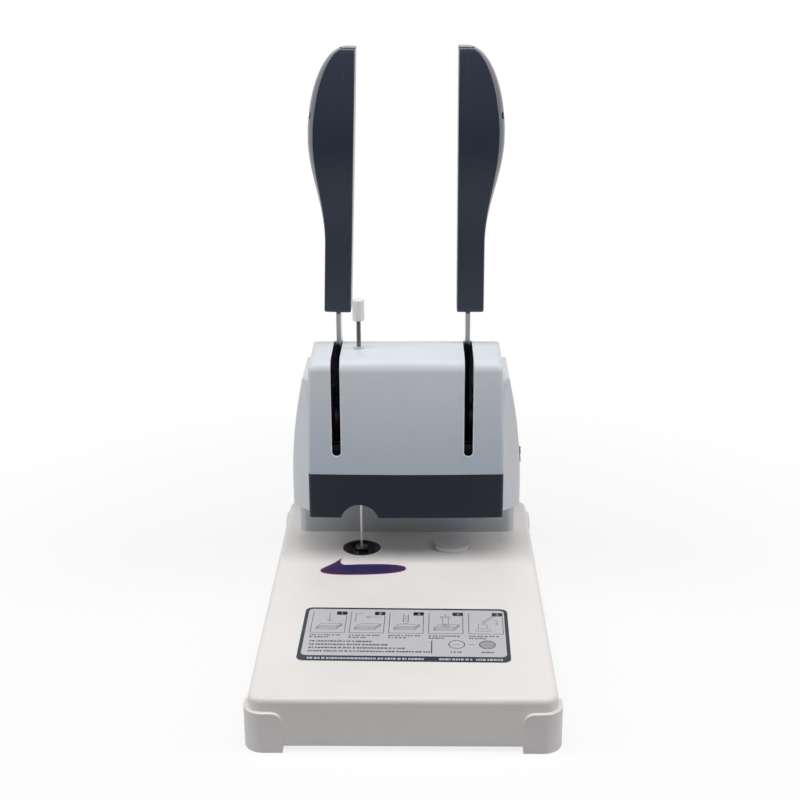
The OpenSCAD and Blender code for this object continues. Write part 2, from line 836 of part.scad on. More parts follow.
// Rear panel with two groups of vent slots
module rear_cover() {
    vent_w = 50;
    vent_h = 3;
    vent_pitch = 8;
    half = head_half_w - panel_gap;
    color(shell_grey) difference() {
        head_shell(base_top_z);
        translate([-head_half_w - 1, 0, 0])
            cube([2 * head_half_w + 2, cover_split_y + panel_gap, 2 * head_apex_z]);
        for (s = [-1, 1]) translate([s * (half + 20), 0, 0]) translate([-20, 0, 0])
            cube([40, back_y + 1, 2 * head_apex_z]);
        for (x = [-40, 40], i = [0 : 5])
            translate([x, back_y, head_z + 12 + i * vent_pitch]) rotate([90, 0, 0])
                linear_extrude(4 * cover_wall, center = true) rounded_rect(vent_w, vent_h, vent_h / 2 - 0.1);
        for (s = [-1, 1], z = rear_screw_z) translate([s * rear_screw_x, back_y + 1, z])
            rotate([90, 0, 0]) cylinder(h = 3 * cover_wall, r = screw_r + screw_gap);
    }
}

module cover_screws() {
    color(steel) for (s = [-1, 1], z = rear_screw_z)
        translate([s * rear_screw_x, back_y, z]) rotate([-90, 0, 0]) screw(6);
}

// ---------- mains inlet, switch and board ----------

module power_inlet() {
    color(black) translate([inlet_x, base_l / 2, inlet_z]) difference() {
        union() {
            translate([-inlet_flange.x / 2, 0, -inlet_flange.y / 2])
                cube([inlet_flange.x, inlet_flange.z, inlet_flange.y]);
            translate([-inlet_body.x / 2, -inlet_body.z, -inlet_body.y / 2])
                cube([inlet_body.x, inlet_body.z + eps, inlet_body.y]);
        }
        rotate([90, 0, 0]) translate([0, 0, -inlet_flange.z - 1])
            linear_extrude(inlet_socket.z + inlet_flange.z + 1)
                polygon([for (p = [[-1, -1], [1, -1], [1, 0.4], [0.7, 1], [-0.7, 1], [-1, 0.4]])
                    [p.x * inlet_socket.x / 2, p.y * inlet_socket.y / 2]]);
        for (s = [-1, 1]) translate([s * (inlet_flange.x / 2 - 5), -1, 0]) rotate([-90, 0, 0])
            cylinder(h = inlet_flange.z + 2, r = 1.6);
    }
}

module inlet_pins() {
    color(steel) translate([inlet_x, base_l / 2 - inlet_socket.z, inlet_z])
        for (p = [[-7, -2], [0, 3], [7, -2]])
            translate([p.x - inlet_pin.y / 2, 0, p.y - inlet_pin.x / 2])
                cube([inlet_pin.y, inlet_pin.z, inlet_pin.x]);
}

// Carries the switch to its place on the bulged right side cover
module switch_place() translate([switch_x, switch_y, switch_z]) rotate([0, -switch_tilt, 0]) children();

module switch_housing() {
    rocker_w = switch_body.z - 2;
    color(black) switch_place() difference() {
        union() {
            translate([0, -switch_bezel.y / 2, -switch_bezel.z / 2]) cube(switch_bezel);
            translate([-switch_body.x, -switch_body.y / 2, -switch_body.z / 2])
                cube([switch_body.x + eps, switch_body.y, switch_body.z]);
        }
        translate([-rocker_half, -rocker_half - 1, -rocker_w / 2 - rocker_gap])
            cube([switch_body.x, 2 * rocker_half + 2, rocker_w + 2 * rocker_gap]);
        cylinder(h = switch_body.z + 1, r = rocker_pin_r + run_gap, center = true);
    }
}

module power_rocker() {
    rocker_w = switch_body.z - 2;
    color("#7d2f2b") switch_place() rotate([0, 0, -rocker_tilt]) {
        linear_extrude(rocker_w, center = true)
            polygon([[-3, -3], [-1.5, -rocker_half], [1.9, -rocker_half], [1.3, 0], [1.9, rocker_half],
                [-1.5, rocker_half], [-3, 3]]);
        cylinder(h = switch_body.z - 0.4, r = rocker_pin_r, center = true);
    }
}

// Board with a transformer and two capacitors, on four pillars in front of the frame's web
module control_board() {
    board = [90, 1.6, 70];
    margin = 7;
    pillar_r = 3;
    coil = [30, 22.4, 36];
    can_r = 5.5;
    can_h = 22;
    z0 = base_top_z + 10;
    y1 = frame_web_y - 4;
    face_y = y1 - board.y + eps;
    color(board_green) {
        translate([-board.x / 2, y1 - board.y, z0]) cube(board);
        for (x = [margin - board.x / 2, board.x / 2 - margin], z = [z0 + margin, z0 + board.z - margin])
            translate([x, y1 - eps, z]) rotate([-90, 0, 0])
                cylinder(h = frame_web_y - y1 + eps, r = pillar_r);
        translate([-coil.x, face_y - coil.y, z0 + 2 * margin]) cube(coil);
        for (x = [2.5, 5]) translate([x * can_r, face_y, z0 + 24]) rotate([90, 0, 0])
            cylinder(h = can_h, r = can_r);
    }
}

// ---------- lower stations ----------

module lower_die() {
    color(brass) translate([-rivet_x, station_y, 0]) rotate_extrude() difference() {
        union() {
            translate([0, die_stem_z]) square([die_stem_r, die_top - die_stem_z]);
            translate([0, heater_z[1]]) square([die_d / 2, die_top - heater_z[1] - 0.5]);
            translate([0, die_top - 1]) square([die_d / 2 - 0.5, 1]);
        }
        translate([0, die_hole_z]) square([needle_d / 2 + needle_gap, die_top]);
        translate([0, die_top + 2.2]) circle(r = 3.4);
    }
}

module die_insulator() {
    z0 = heater_z[1];
    z1 = base_top_z - ring_sink;
    color(black) translate([-rivet_x, station_y, 0]) rotate_extrude() difference() {
        translate([die_d / 2, z0]) square([ring_d / 2 - die_d / 2, z1 - z0]);
        polygon([
            [0, z1 - ring_bowl], [die_d / 2 + 3, z1 - ring_bowl], [ring_d / 2 - 2.5, z1 + eps], [0, z1 + eps]
        ]);
    }
}

module lower_heater() {
    color(steel) difference() {
        union() {
            bar_z(-rivet_x, station_y, heater_z[0], heater_z[1], heater_r);
            for (a = [30, 150, 270])
                bar_z(-rivet_x + 11 * cos(a), station_y + 11 * sin(a), floor_z, heater_z[0] + eps, 2.5);
        }
        bar_z(-rivet_x, station_y, die_stem_z, heater_z[1] + 1, die_stem_r);
    }
}

module drill_pad() {
    color("#d9dadb") translate([pad_x, pad_y, 0]) rotate_extrude() {
        translate([0, pad_z]) square([pad_d / 2, pad_top - pad_z - 0.6]);
        translate([0, pad_z]) square([pad_d / 2 - 0.6, pad_top - pad_z]);
        translate([0, pad_z - pad_stud_len]) square([pad_stud_r, pad_stud_len + eps]);
    }
}

module pad_seat() {
    color(steel) translate([pad_x, pad_y, 0]) rotate_extrude() difference() {
        union() {
            translate([0, pad_z - 3]) square([pad_d / 2 - 1, 3]);
            translate([0, floor_z]) square([9, pad_z - floor_z - 1]);
            translate([0, floor_z]) square([14, 3]);
        }
        translate([0, pad_z - pad_stud_len]) square([pad_stud_r + run_gap, pad_stud_len + 1]);
    }
}

// ---------- cross axle ----------

module cross_axle() {
    end_x = frame_x + frame_t + 3;
    color(steel) difference() {
        bar_x(-end_x, end_x, axle_y, axle_z, axle_d / 2);
        for (s = [-1, 1]) translate([s * (frame_x + frame_t + ring_t / 2), axle_y, axle_z]) rotate([0, 90, 0])
            difference() {
                cylinder(h = ring_t, r = axle_d, center = true);
                cylinder(h = ring_t + 1, r = groove_r, center = true);
            }
    }
}

// Two set collars inside the levers and two snap rings outside the frame
module axle_collars() {
    module ring_at(x, w, r, bore) difference() {
        bar_x(x, x + w, axle_y, axle_z, r);
        bar_x(x - 1, x + w + 1, axle_y, axle_z, bore);
    }
    hub_end = arm_t / 2 + 1;
    color(steel) {
        ring_at(drill_arm_x - hub_end - collar_w, collar_w, collar_r, axle_d / 2);
        ring_at(hub_end - rivet_arm_x, collar_w, collar_r, axle_d / 2);
        ring_at(frame_x + frame_t, ring_t, ring_r, groove_r);
        ring_at(-frame_x - frame_t - ring_t, ring_t, ring_r, groove_r);
    }
}

// ---------- toothed sector and rack ----------

function involute(a) = tan(a) * 180 / PI - a;
function flank_angle(r) = tooth_thick / 2 / pitch_r * 180 / PI + involute(pressure)
    - involute(acos(min(1, base_circle_r / r)));

// One involute tooth of the sector, pointing along +x
module sector_tooth() {
    steps = 5;
    radii = [for (i = [0 : steps]) root_r - 0.3 + (tip_r - root_r + 0.3) * i / steps];
    polygon(concat(
        [for (r = radii) r * [cos(flank_angle(max(r, root_r))), sin(flank_angle(max(r, root_r)))]],
        [for (i = [steps : -1 : 0]) radii[i]
            * [cos(flank_angle(max(radii[i], root_r))), -sin(flank_angle(max(radii[i], root_r)))]]
    ));
}

// Sector seen from the +X side, centred on the axle: tooth 0 points at the rack
module sector_profile() {
    a0 = 180 - (first_tooth - 0.5) * tooth_angle;
    a1 = 180 - (last_tooth + 0.5) * tooth_angle;
    reach = 2 * root_r;
    intersection() {
        circle(r = root_r, $fn = 180);
        polygon([[0, 0], reach * [cos(a0), sin(a0)], reach * [cos((2 * a0 + a1) / 3), sin((2 * a0 + a1) / 3)],
            reach * [cos((a0 + 2 * a1) / 3), sin((a0 + 2 * a1) / 3)], reach * [cos(a1), sin(a1)]]);
    }
    for (i = [first_tooth : last_tooth]) rotate(180 - i * tooth_angle) sector_tooth();
    circle(r = eye_r);
}

// Sector with its hub, drawn for the right-hand side
module gear_sector(arm_x) {
    x0 = arm_x + arm_t / 2;
    x1 = x0 + flange_t;
    color("#8c8f94") difference() {
        union() {
            translate([0, axle_y, axle_z]) along_x(x1, x1 + gear_w) sector_profile();
            bar_x(x0, x1 + eps, axle_y, axle_z, flange_r);
            bar_x(x0 - arm_t - 0.5, frame_x - 0.3, axle_y, axle_z, spigot_r);
        }
        bar_x(x0 - arm_t - 2, frame_x + 1, axle_y, axle_z, axle_d / 2 + run_gap);
        hub_screw_holes(x0 - 1, x1 + gear_w + 1);
        for (a = [lighten_a, lighten_a - 36]) translate([0, axle_y, axle_z])
            bar_x(x1 - 1, x1 + gear_w + 1, 23.5 * cos(a), 23.5 * sin(a), 5);
    }
}
lighten_a = 180 - (first_tooth + last_tooth) / 2 * tooth_angle + 18;

module hub_screw_holes(x0, x1) {
    for (a = [90, 210, 330])
        bar_x(x0, x1, axle_y + hub_screw_r * cos(a), axle_z + hub_screw_r * sin(a), screw_r + screw_gap);
}

// Three screws that hold the strip against the hub's flange
module arm_screws(arm_x) {
    x1 = arm_x + arm_t / 2 + flange_t + gear_w;
    color(steel) for (a = [90, 210, 330])
        translate([x1, axle_y + hub_screw_r * cos(a), axle_z + hub_screw_r * sin(a)]) rotate([0, 90, 0])
            screw(gear_w + flange_t + arm_t);
}

module rack(arm_x) {
    x0 = arm_x + arm_t / 2 + flange_t;
    first = ceil((carriage_z + 5 - axle_z) / tooth_pitch - 0.5);
    last = floor((rack_top - 3 - axle_z) / tooth_pitch - 0.5);
    half = tooth_thick / 2;
    root_half = half + 1.25 * gear_module * tan(pressure);
    tip_half = half - gear_module * tan(pressure);
    color("#8c8f94") along_x(x0, x0 + gear_w) {
        translate([rack_back_y, carriage_z]) square([rack_root_y - rack_back_y, rack_top - carriage_z]);
        for (i = [first : last]) translate([rack_root_y, axle_z + (i + 0.5) * tooth_pitch])
            polygon([[-0.5, -root_half], [0, -root_half], [rack_tip_y - rack_root_y, -tip_half],
                [rack_tip_y - rack_root_y, tip_half], [0, root_half], [-0.5, root_half]]);
    }
}

// ---------- levers ----------

tang_d = 14;
tang_len = 184;
grip_screw_z = [26, 94, 171];
grip_screw_len = 8;
grip_seat_x = arm_t / 2 + 4;

// Bends the part of a lever above the grip's lower end inward
module leaning(arm_x, lean) translate([arm_x, axle_y, grip_z]) rotate([0, -lean, 0]) children();

// Tang seen from the front: upright up to the grip, then shifted inward towards its tip
module tang_profile(shift, rise) {
    half = arm_t / 2;
    polygon([
        [-half, -arm_d], [half, -arm_d], [half, 0], [half - shift, rise], [-half - shift, rise], [-half, 0]
    ]);
}

module lever_arm(arm_x, lean) {
    x0 = arm_x - arm_t / 2;
    color(steel) difference() {
        union() {
            along_x(x0, x0 + arm_t) translate([axle_y, axle_z]) {
                circle(r = eye_r);
                translate([-arm_d / 2, 0]) square([arm_d, grip_z - axle_z - 2]);
            }
            translate([arm_x, 0, grip_z]) along_y(axle_y - tang_d / 2, axle_y + tang_d / 2)
                tang_profile(tang_len * sin(lean), tang_len * cos(lean));
        }
        bar_x(x0 - 1, x0 + arm_t + 1, axle_y, axle_z, spigot_r);
        hub_screw_holes(x0 - 1, x0 + arm_t + 1);
        leaning(arm_x, lean) for (z = grip_screw_z) bar_x(-arm_t, arm_t, 0, z, screw_r + screw_gap);
    }
}

// Growth of a grip at height z above its lower end: 0 at the neck and the tip, 1 at the belly
function smooth(t) = (1 - cos(180 * max(0, min(1, t)))) / 2;
function swell(z) = z < belly_h ? smooth((z - neck_h) / (belly_h - neck_h))
    : sqrt(max(0, 1 - pow((z - belly_h) / (grip_len - belly_h), 2)));
function grown(z, neck, belly, tip) = (z < belly_h ? neck : tip) * (1 - swell(z)) + belly * swell(z);

// Cross-section of a grip, drawn in by inset: flat inner, front and rear faces, crowned outer face
function grip_section(reach, z, inset) =
    let (
        crown = grown(z, neck_crown, belly_crown, neck_crown),
        half = grown(z, neck_d, belly_d, grip_tip_share * belly_d) / 2 - inset,
        x0 = inset - reach,
        x1 = grown(z, neck_w, belly_w, tip_w) - reach - crown - inset,
        flat = half - grip_edge_r,
        bow = (flat * flat + crown * crown) / (2 * crown),
        sweep = asin(flat / bow)
    )
    concat(
        [for (a = [-3 : 3]) [x1 + crown - bow + bow * cos(sweep * a / 3), bow * sin(sweep * a / 3), z]],
        [for (a = [60, 90]) [x1 - grip_edge_r + grip_edge_r * cos(a), flat + grip_edge_r * sin(a), z]],
        [for (a = [90, 135, 180])
            [x0 + grip_inner_r * (1 + cos(a)), half + grip_inner_r * (sin(a) - 1), z]],
        [for (a = [180, 225, 270])
            [x0 + grip_inner_r * (1 + cos(a)), -half + grip_inner_r * (sin(a) + 1), z]],
        [for (a = [270, 300]) [x1 - grip_edge_r + grip_edge_r * cos(a), -flat + grip_edge_r * sin(a), z]]
    );
grip_inner_r = 1.5;
grip_edge_r = 1.2;
grip_tip_share = 0.62;

// Skin over rings of points that run counter-clockwise about the path, with flat ends
module loft(rings) {
    n = len(rings[0]);
    m = len(rings);
    polyhedron(
        points = [for (ring = rings) each ring],
        faces = concat(
            [[for (i = [0 : n - 1]) i]],
            [for (j = [0 : m - 2], i = [0 : n - 1]) each [
                [j * n + i, (j + 1) * n + (i + 1) % n, j * n + (i + 1) % n],
                [j * n + i, (j + 1) * n + i, (j + 1) * n + (i + 1) % n]]],
            [[for (i = [n - 1 : -1 : 0]) (m - 1) * n + i]]
        )
    );
}

grip_steps = 24;
// Rings lie closer together towards the dome's tip
function grip_level(i) = let (t = i / grip_steps) grip_len * (1.35 * t - 0.35 * t * t);

module grip_body(reach) {
    loft(concat(
        [grip_section(reach, 0, 1), grip_section(reach, 0.3, 0.3), grip_section(reach, 1, 0)],
        [for (i = [1 : grip_steps - 1]) grip_section(reach, grip_level(i), 0)],
        [grip_section(reach, grip_len - 0.3, 0.1), grip_section(reach, grip_len, 0.6)]
    ));
}

// The grip's two shells meet on the plane of the strip's inner face
module grip_inner_half(arm_x, reach, lean) {
    color(navy) leaning(arm_x, lean) difference() {
        grip_body(reach);
        translate([-arm_t / 2, -50, -1]) cube([100, 100, grip_len + 2]);
        for (z = grip_screw_z) bar_x(-grip_screw_len, 0, 0, z, screw_r, $fn = 24);
    }
}

module grip_outer_half(arm_x, reach, lean) {
    color(navy) leaning(arm_x, lean) difference() {
        grip_body(reach);
        translate([-50, -50, -1]) cube([50 - arm_t / 2 + 0.05, 100, grip_len + 2]);
        translate([-arm_t, -tang_d / 2 - 0.1, -1]) cube([1.5 * arm_t + 0.1, tang_d + 0.2, tang_len + 1.1]);
        for (z = grip_screw_z) {
            bar_x(0, 40, 0, z, screw_r + screw_gap, $fn = 24);
            bar_x(grip_seat_x, 60, 0, z, screw_head_r + screw_gap, $fn = 24);
        }
    }
}

module grip_screws(arm_x, lean) {
    color(steel) leaning(arm_x, lean) for (z = grip_screw_z)
        translate([grip_seat_x, 0, z]) rotate([0, 90, 0]) screw(grip_seat_x + grip_screw_len);
}

module rivet_lever_arm() mirror([1, 0, 0]) lever_arm(rivet_arm_x, rivet_grip_lean);
module rivet_gear_sector() mirror([1, 0, 0]) gear_sector(rivet_arm_x);
module rivet_arm_screws() mirror([1, 0, 0]) arm_screws(rivet_arm_x);
module rivet_grip_inner() mirror([1, 0, 0]) grip_inner_half(rivet_arm_x, rivet_grip_reach, rivet_grip_lean);
module rivet_grip_outer() mirror([1, 0, 0]) grip_outer_half(rivet_arm_x, rivet_grip_reach, rivet_grip_lean);
module rivet_grip_screws() mirror([1, 0, 0]) grip_screws(rivet_arm_x, rivet_grip_lean);
module rivet_rack() mirror([1, 0, 0]) rack(rivet_arm_x);

module drill_lever_arm() lever_arm(drill_arm_x, 0);
module drill_gear_sector() gear_sector(drill_arm_x);
module drill_arm_screws() arm_screws(drill_arm_x);
module drill_grip_inner() grip_inner_half(drill_arm_x, drill_grip_reach, 0);
module drill_grip_outer() grip_outer_half(drill_arm_x, drill_grip_reach, 0);
module drill_grip_screws() grip_screws(drill_arm_x, 0);
module drill_rack() rack(drill_arm_x);

// ---------- carriages ----------

// Carriage seen from above, drawn for the right-hand side: a bar in front that runs out to the
// rack and the spring rod, and a clamp for quill and guide post
module carriage_plan(ram_x, arm_x) {
    x_end = spring_x + 3;
    translate([ram_x - 10, bar_y0]) square([x_end - ram_x + 10, rack_back_y - bar_y0]);
    translate([spring_x - 3, bar_y0]) square([6, spring_y + 4 - bar_y0]);
    intersection() {
        union() {
            translate([ram_x, station_y]) circle(r = boss_r);
            translate([ram_x - 10, rack_back_y - 1]) square([20, station_y - rack_back_y]);
            translate([ram_x - post_shift.x, post_y]) circle(r = post_boss_r);
            translate([ram_x - post_shift.x, station_y - link_half])
                square([post_shift.x, post_shift.y + 2 * link_half]);
        }
        translate([-100, 0]) square([100 + arm_x - arm_t / 2 - side_gap, 200]);
    }
}

module carriage(ram_x, arm_x) {
    difference() {
        union() {
            along_z(carriage_z, carriage_top) carriage_plan(ram_x, arm_x);
            bar_z(spring_x, spring_y, carriage_top - eps, spring_cap_z + spring_cap_t, spring_rod_r);
            bar_z(spring_x, spring_y, spring_cap_z + spring_gap, spring_cap_z + spring_cap_t,
                spring_mean_r + 0.4);
        }
        bar_z(ram_x, station_y, carriage_z - 1, carriage_top + 1, quill_r);
        bar_z(ram_x - post_shift.x, post_y, carriage_z - 1, carriage_top + 1, post_d / 2 + run_gap);
    }
}

module rivet_carriage() color("#9da1a6") mirror([1, 0, 0]) carriage(rivet_x, rivet_arm_x);

module drill_carriage() {
    color("#9da1a6") difference() {
        union() {
            carriage(drill_x, drill_arm_x);
            difference() {
                along_z(carriage_z, motor_z) {
                    translate([motor_x, station_y]) circle(r = motor_d / 2);
                    translate([motor_x, station_y - 12])
                        square([drill_x - post_shift.x + 2 - motor_x, 24]);
                }
                bar_z(drill_x, station_y, carriage_z - 1, motor_z + 1, quill_r + 2);
                bar_z(drill_x - post_shift.x, post_y, carriage_z - 1, motor_z + 1, post_d / 2 + run_gap);
            }
        }
    }
}

// Helical wire: the two turns at each end lie close together, the others are spread evenly
function coil_rise(t) = let (lead = 2 / spring_turns, low = 2.2 * 2 * spring_wire_r / spring_len)
    t < lead ? low * t / lead
    : t > 1 - lead ? 1 - low * (1 - t) / lead
    : low + (1 - 2 * low) * (t - lead) / (1 - 2 * lead);

module coil_spring() {
    per_turn = 8;
    sides = 6;
    count = spring_turns * per_turn;
    z0 = spring_z0 + spring_wire_r + 0.05;
    rise = spring_len - 2 * spring_wire_r - 0.1;
    color("#c2c5c9") translate([spring_x, spring_y, z0]) loft([for (i = [0 : count])
        let (a = 360 * i / per_turn, z = rise * coil_rise(i / count))
            [for (k = [0 : sides - 1]) let (b = -360 * k / sides, r = spring_mean_r + spring_wire_r * cos(b))
                [r * cos(a), r * sin(a), z + spring_wire_r * sin(b)]]]);
}

module rivet_return_spring() mirror([1, 0, 0]) coil_spring();
module drill_return_spring() coil_spring();

// ---------- riveting ram ----------

module rivet_quill() {
    color(steel) translate([-rivet_x, station_y, 0]) rotate_extrude() difference() {
        union() {
            translate([0, rivet_quill_z]) square([quill_r, quill_top - rivet_quill_z]);
            translate([0, carriage_z - quill_flange_t]) square([quill_flange_r, quill_flange_t]);
        }
        translate([0, rivet_quill_z - 1]) square([rod_d / 2 + run_gap, quill_top]);
    }
}

module upper_heater() {
    z0 = upper_die_z + upper_die_h;
    color("#b9aa8e") translate([-rivet_x, station_y, 0]) rotate_extrude() difference() {
        translate([0, z0]) square([upper_heater_r, upper_heater_h]);
        translate([0, z0 - 1]) square([die_stem_r, 7]);
        translate([0, z0]) square([rod_d / 2 + run_gap, upper_heater_h + 1]);
    }
}

module upper_die() {
    z0 = upper_die_z;
    color(brass) translate([-rivet_x, station_y, 0]) rotate_extrude() difference() {
        union() {
            translate([0, z0]) square([upper_die_r - 0.6, upper_die_h]);
            translate([0, z0 + 0.6]) square([upper_die_r, upper_die_h - 0.6]);
            translate([0, z0 + upper_die_h]) square([die_stem_r, 6]);
        }
        translate([0, z0 - 1]) square([needle_d / 2 + needle_gap, upper_die_h + 8]);
        translate([0, z0 - 2.2]) circle(r = 3.4);
    }
}

module needle() {
    color("#c9ccd0") bar_z(-rivet_x, station_y, needle_z, rod_z + rod_seat, needle_d / 2);
}

module guide_rod() {
    color("#5b5d61") difference() {
        bar_z(-rivet_x, station_y, rod_z, knob_z + knob_seat, rod_d / 2);
        bar_z(-rivet_x, station_y, rod_z - 1, rod_z + rod_seat, needle_d / 2);
    }
}

module rod_knob() {
    bevel = 1;
    color("#e8e8e6") translate([-rivet_x, station_y, knob_z]) rotate_extrude() difference() {
        union() {
            square([knob_d / 2 - bevel, knob_h]);
            translate([0, bevel / 2]) square([knob_d / 2, knob_h - bevel - bevel / 2]);
            translate([knob_d / 2 - bevel, knob_h - bevel]) intersection() {
                circle(r = bevel);
                square(bevel);
            }
        }
        translate([0, -1]) square([rod_d / 2, knob_seat + 1]);
    }
}

// Collar on the head's top that guides the rod
module rod_bushing() {
    seat_z = head_apex_z - crown_r + sqrt(pow(crown_r, 2) - pow(rivet_x - bush_flange_r, 2));
    color("#d4d5d6") translate([-rivet_x, station_y, 0]) rotate_extrude() difference() {
        union() {
            translate([0, seat_z]) square([bush_flange_r, bush_flange_h]);
            translate([0, seat_z - bush_drop]) square([bush_neck_r, bush_drop + eps]);
        }
        translate([0, seat_z - bush_drop - 1]) square([rod_d / 2 + run_gap, 20]);
    }
}

// ---------- drilling ram ----------

module drill_quill() {
    color(steel) translate([drill_x, station_y, 0]) rotate_extrude() difference() {
        union() {
            translate([0, carriage_z - quill_flange_t])
                square([quill_r, quill_top - carriage_z + quill_flange_t]);
            translate([0, carriage_z - quill_flange_t]) square([quill_flange_r, quill_flange_t]);
        }
        translate([0, carriage_z - quill_flange_t - 1]) square([bearing_r, quill_top]);
    }
}

module spindle_bearings() {
    color(brass) translate([drill_x, station_y, 0]) rotate_extrude()
        for (z = [carriage_z - quill_flange_t, quill_top - bearing_len])
            translate([spindle_d / 2 + run_gap, z])
                square([bearing_r - spindle_d / 2 - run_gap, bearing_len]);
}

module drill_spindle() {
    color("#b8bbbf") translate([drill_x, station_y, 0]) rotate_extrude() {
        translate([spindle_bore_r, spindle_z])
            square([spindle_d / 2 - spindle_bore_r, spindle_top - spindle_z]);
        translate([0, pulley_z]) pulley_profile(spindle_bore_r, pulley_groove_r);
    }
}

module drill_chuck() {
    color("#8f9297") translate([drill_x, station_y, 0]) rotate_extrude() difference() {
        polygon([
            [0, chuck_z], [chuck_r - 2.5, chuck_z], [chuck_r, chuck_z + 5],
            [chuck_r, chuck_top], [0, chuck_top]
        ]);
        translate([0, chuck_z - 1]) square([drill_d / 2, 20]);
        translate([0, spindle_z]) square([spindle_d / 2, 40]);
    }
}

module hollow_drill() {
    bore = spindle_bore_r;
    r = drill_d / 2;
    color("#c9ccd0") translate([drill_x, station_y, 0]) rotate_extrude()
        polygon([[bore, drill_tip_z], [r, drill_tip_z + 2.4], [r, spindle_z], [bore, spindle_z]]);
}

module pulley_profile(bore, groove) {
    rim = groove + pulley_rim;
    difference() {
        union() {
            square([groove, pulley_h]);
            square([rim, pulley_rim]);
            translate([0, pulley_h - pulley_rim]) square([rim, pulley_rim]);
        }
        if (bore > 0) translate([0, -1]) square([bore, pulley_h + 2]);
    }
}

module drill_motor() {
    color("#3b3e44") difference() {
        union() {
            bar_z(motor_x, station_y, motor_z, motor_z + motor_h, motor_d / 2);
            bar_z(motor_x, station_y, motor_z + motor_h - eps, motor_z + motor_h + 3, 6);
        }
        bar_z(motor_x, station_y, motor_z + motor_h - 12, motor_z + motor_h + 4, motor_shaft_r + run_gap);
    }
}

module motor_pulley() {
    color("#b8bbbf") {
        bar_z(motor_x, station_y, motor_z + motor_h - 11.7, pulley_z + pulley_h, motor_shaft_r);
        translate([motor_x, station_y, pulley_z]) rotate_extrude() pulley_profile(0, pulley_groove_r);
    }
}

// Outline of the belt's loop round two equal pulleys
module belt_loop(r) {
    translate([(motor_x + drill_x) / 2, station_y]) square([drill_x - motor_x, 2 * r], center = true);
    for (x = [motor_x, drill_x]) translate([x, station_y]) circle(r = r);
}

module drive_belt() {
    z0 = pulley_z + (pulley_h - belt_w) / 2;
    color(black) difference() {
        along_z(z0, z0 + belt_w) belt_loop(pulley_groove_r + belt_gap + belt_t);
        along_z(z0 - 1, z0 + belt_w + 1) belt_loop(pulley_groove_r + belt_gap);
    }
}

// ---------- nodes ----------

base_cover();
base_plate();
corner_guards();
base_screws();
main_frame();
head_floor();
guide_bracket();
guide_posts();
throat_cover();
side_cover_left();
side_cover_right();
front_cover();
front_visor();
rear_cover();
cover_screws();
power_inlet();
inlet_pins();
switch_housing();
power_rocker();
control_board();
lower_die();
die_insulator();
lower_heater();
drill_pad();
pad_seat();
cross_axle();
axle_collars();
rod_bushing();
guide_rod();
needle();
rod_knob();
rivet_lever_arm();
rivet_gear_sector();
rivet_arm_screws();
rivet_grip_inner();
rivet_grip_outer();
rivet_grip_screws();
rivet_carriage();
rivet_rack();
rivet_quill();
upper_heater();
upper_die();
rivet_return_spring();
drill_lever_arm();
drill_gear_sector();
drill_arm_screws();
drill_grip_inner();
drill_grip_outer();
drill_grip_screws();
drill_carriage();
drill_rack();
drill_quill();
spindle_bearings();
drill_spindle();
drill_chuck();
hollow_drill();
drill_motor();
motor_pulley();
drive_belt();
drill_return_spring();
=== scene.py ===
"""Looks of a document riveting machine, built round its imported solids.

Sizes in this file are millimetres, and a mesh is scaled to metres when its object is made.
X runs to the operator's right, Y away from the operator and Z up.
"""

import logging
import math
import random
from collections.abc import Iterable, Sequence
from dataclasses import dataclass, field, replace
from enum import Enum
from typing import Any

import bmesh
import bpy
from mathutils import Matrix, Vector


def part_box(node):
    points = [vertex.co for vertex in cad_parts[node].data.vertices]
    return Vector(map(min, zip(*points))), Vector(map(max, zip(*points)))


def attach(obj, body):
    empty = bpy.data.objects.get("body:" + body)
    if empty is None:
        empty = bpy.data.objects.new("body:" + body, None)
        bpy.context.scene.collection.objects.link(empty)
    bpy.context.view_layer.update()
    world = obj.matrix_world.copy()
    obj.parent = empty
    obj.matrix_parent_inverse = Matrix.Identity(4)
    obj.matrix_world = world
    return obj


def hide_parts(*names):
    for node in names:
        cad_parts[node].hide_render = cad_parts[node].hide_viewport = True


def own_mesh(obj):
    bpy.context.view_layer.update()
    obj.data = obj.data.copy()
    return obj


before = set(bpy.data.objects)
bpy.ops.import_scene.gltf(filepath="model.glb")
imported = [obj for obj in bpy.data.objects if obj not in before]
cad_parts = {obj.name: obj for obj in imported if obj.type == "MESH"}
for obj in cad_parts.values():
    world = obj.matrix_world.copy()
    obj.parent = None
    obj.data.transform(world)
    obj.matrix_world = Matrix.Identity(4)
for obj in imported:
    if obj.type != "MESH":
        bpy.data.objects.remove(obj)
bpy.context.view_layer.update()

LOG = logging.getLogger("riveting_machine")
MM = 0.001
MM_IN_METRE = 1000.0

Colour = tuple[float, float, float]
Point2 = tuple[float, float]
Point3 = tuple[float, float, float]
Box2 = tuple[float, float, float, float]


# ---------- small helpers ----------

def srgb(red: int, green: int, blue: int) -> Colour:
    """Turns a colour as it is seen on a screen into linear values.

    Args:
        red: Red, 0 to 255.
        green: Green, 0 to 255.
        blue: Blue, 0 to 255.

    Returns:
        The linear colour.
    """
    def linear(value: int) -> float:
        """Undoes the screen's gamma for one channel."""
        share = value / 255
        return share / 12.92 if share <= 0.04045 else ((share + 0.055) / 1.055) ** 2.4

    return linear(red), linear(green), linear(blue)


def shade(colour: Colour, factor: float) -> Colour:
    """Returns the colour made lighter or darker by a factor."""
    return tuple(min(1.0, channel * factor) for channel in colour)


def smooth_share(value: float) -> float:
    """Eases 0 to 1 with level ends."""
    return (1 - math.cos(math.pi * max(0.0, min(1.0, value)))) / 2


def turns(steps: int) -> list[float]:
    """Angles of one whole turn in radians, in equal steps."""
    return [2 * math.pi * i / steps for i in range(steps)]


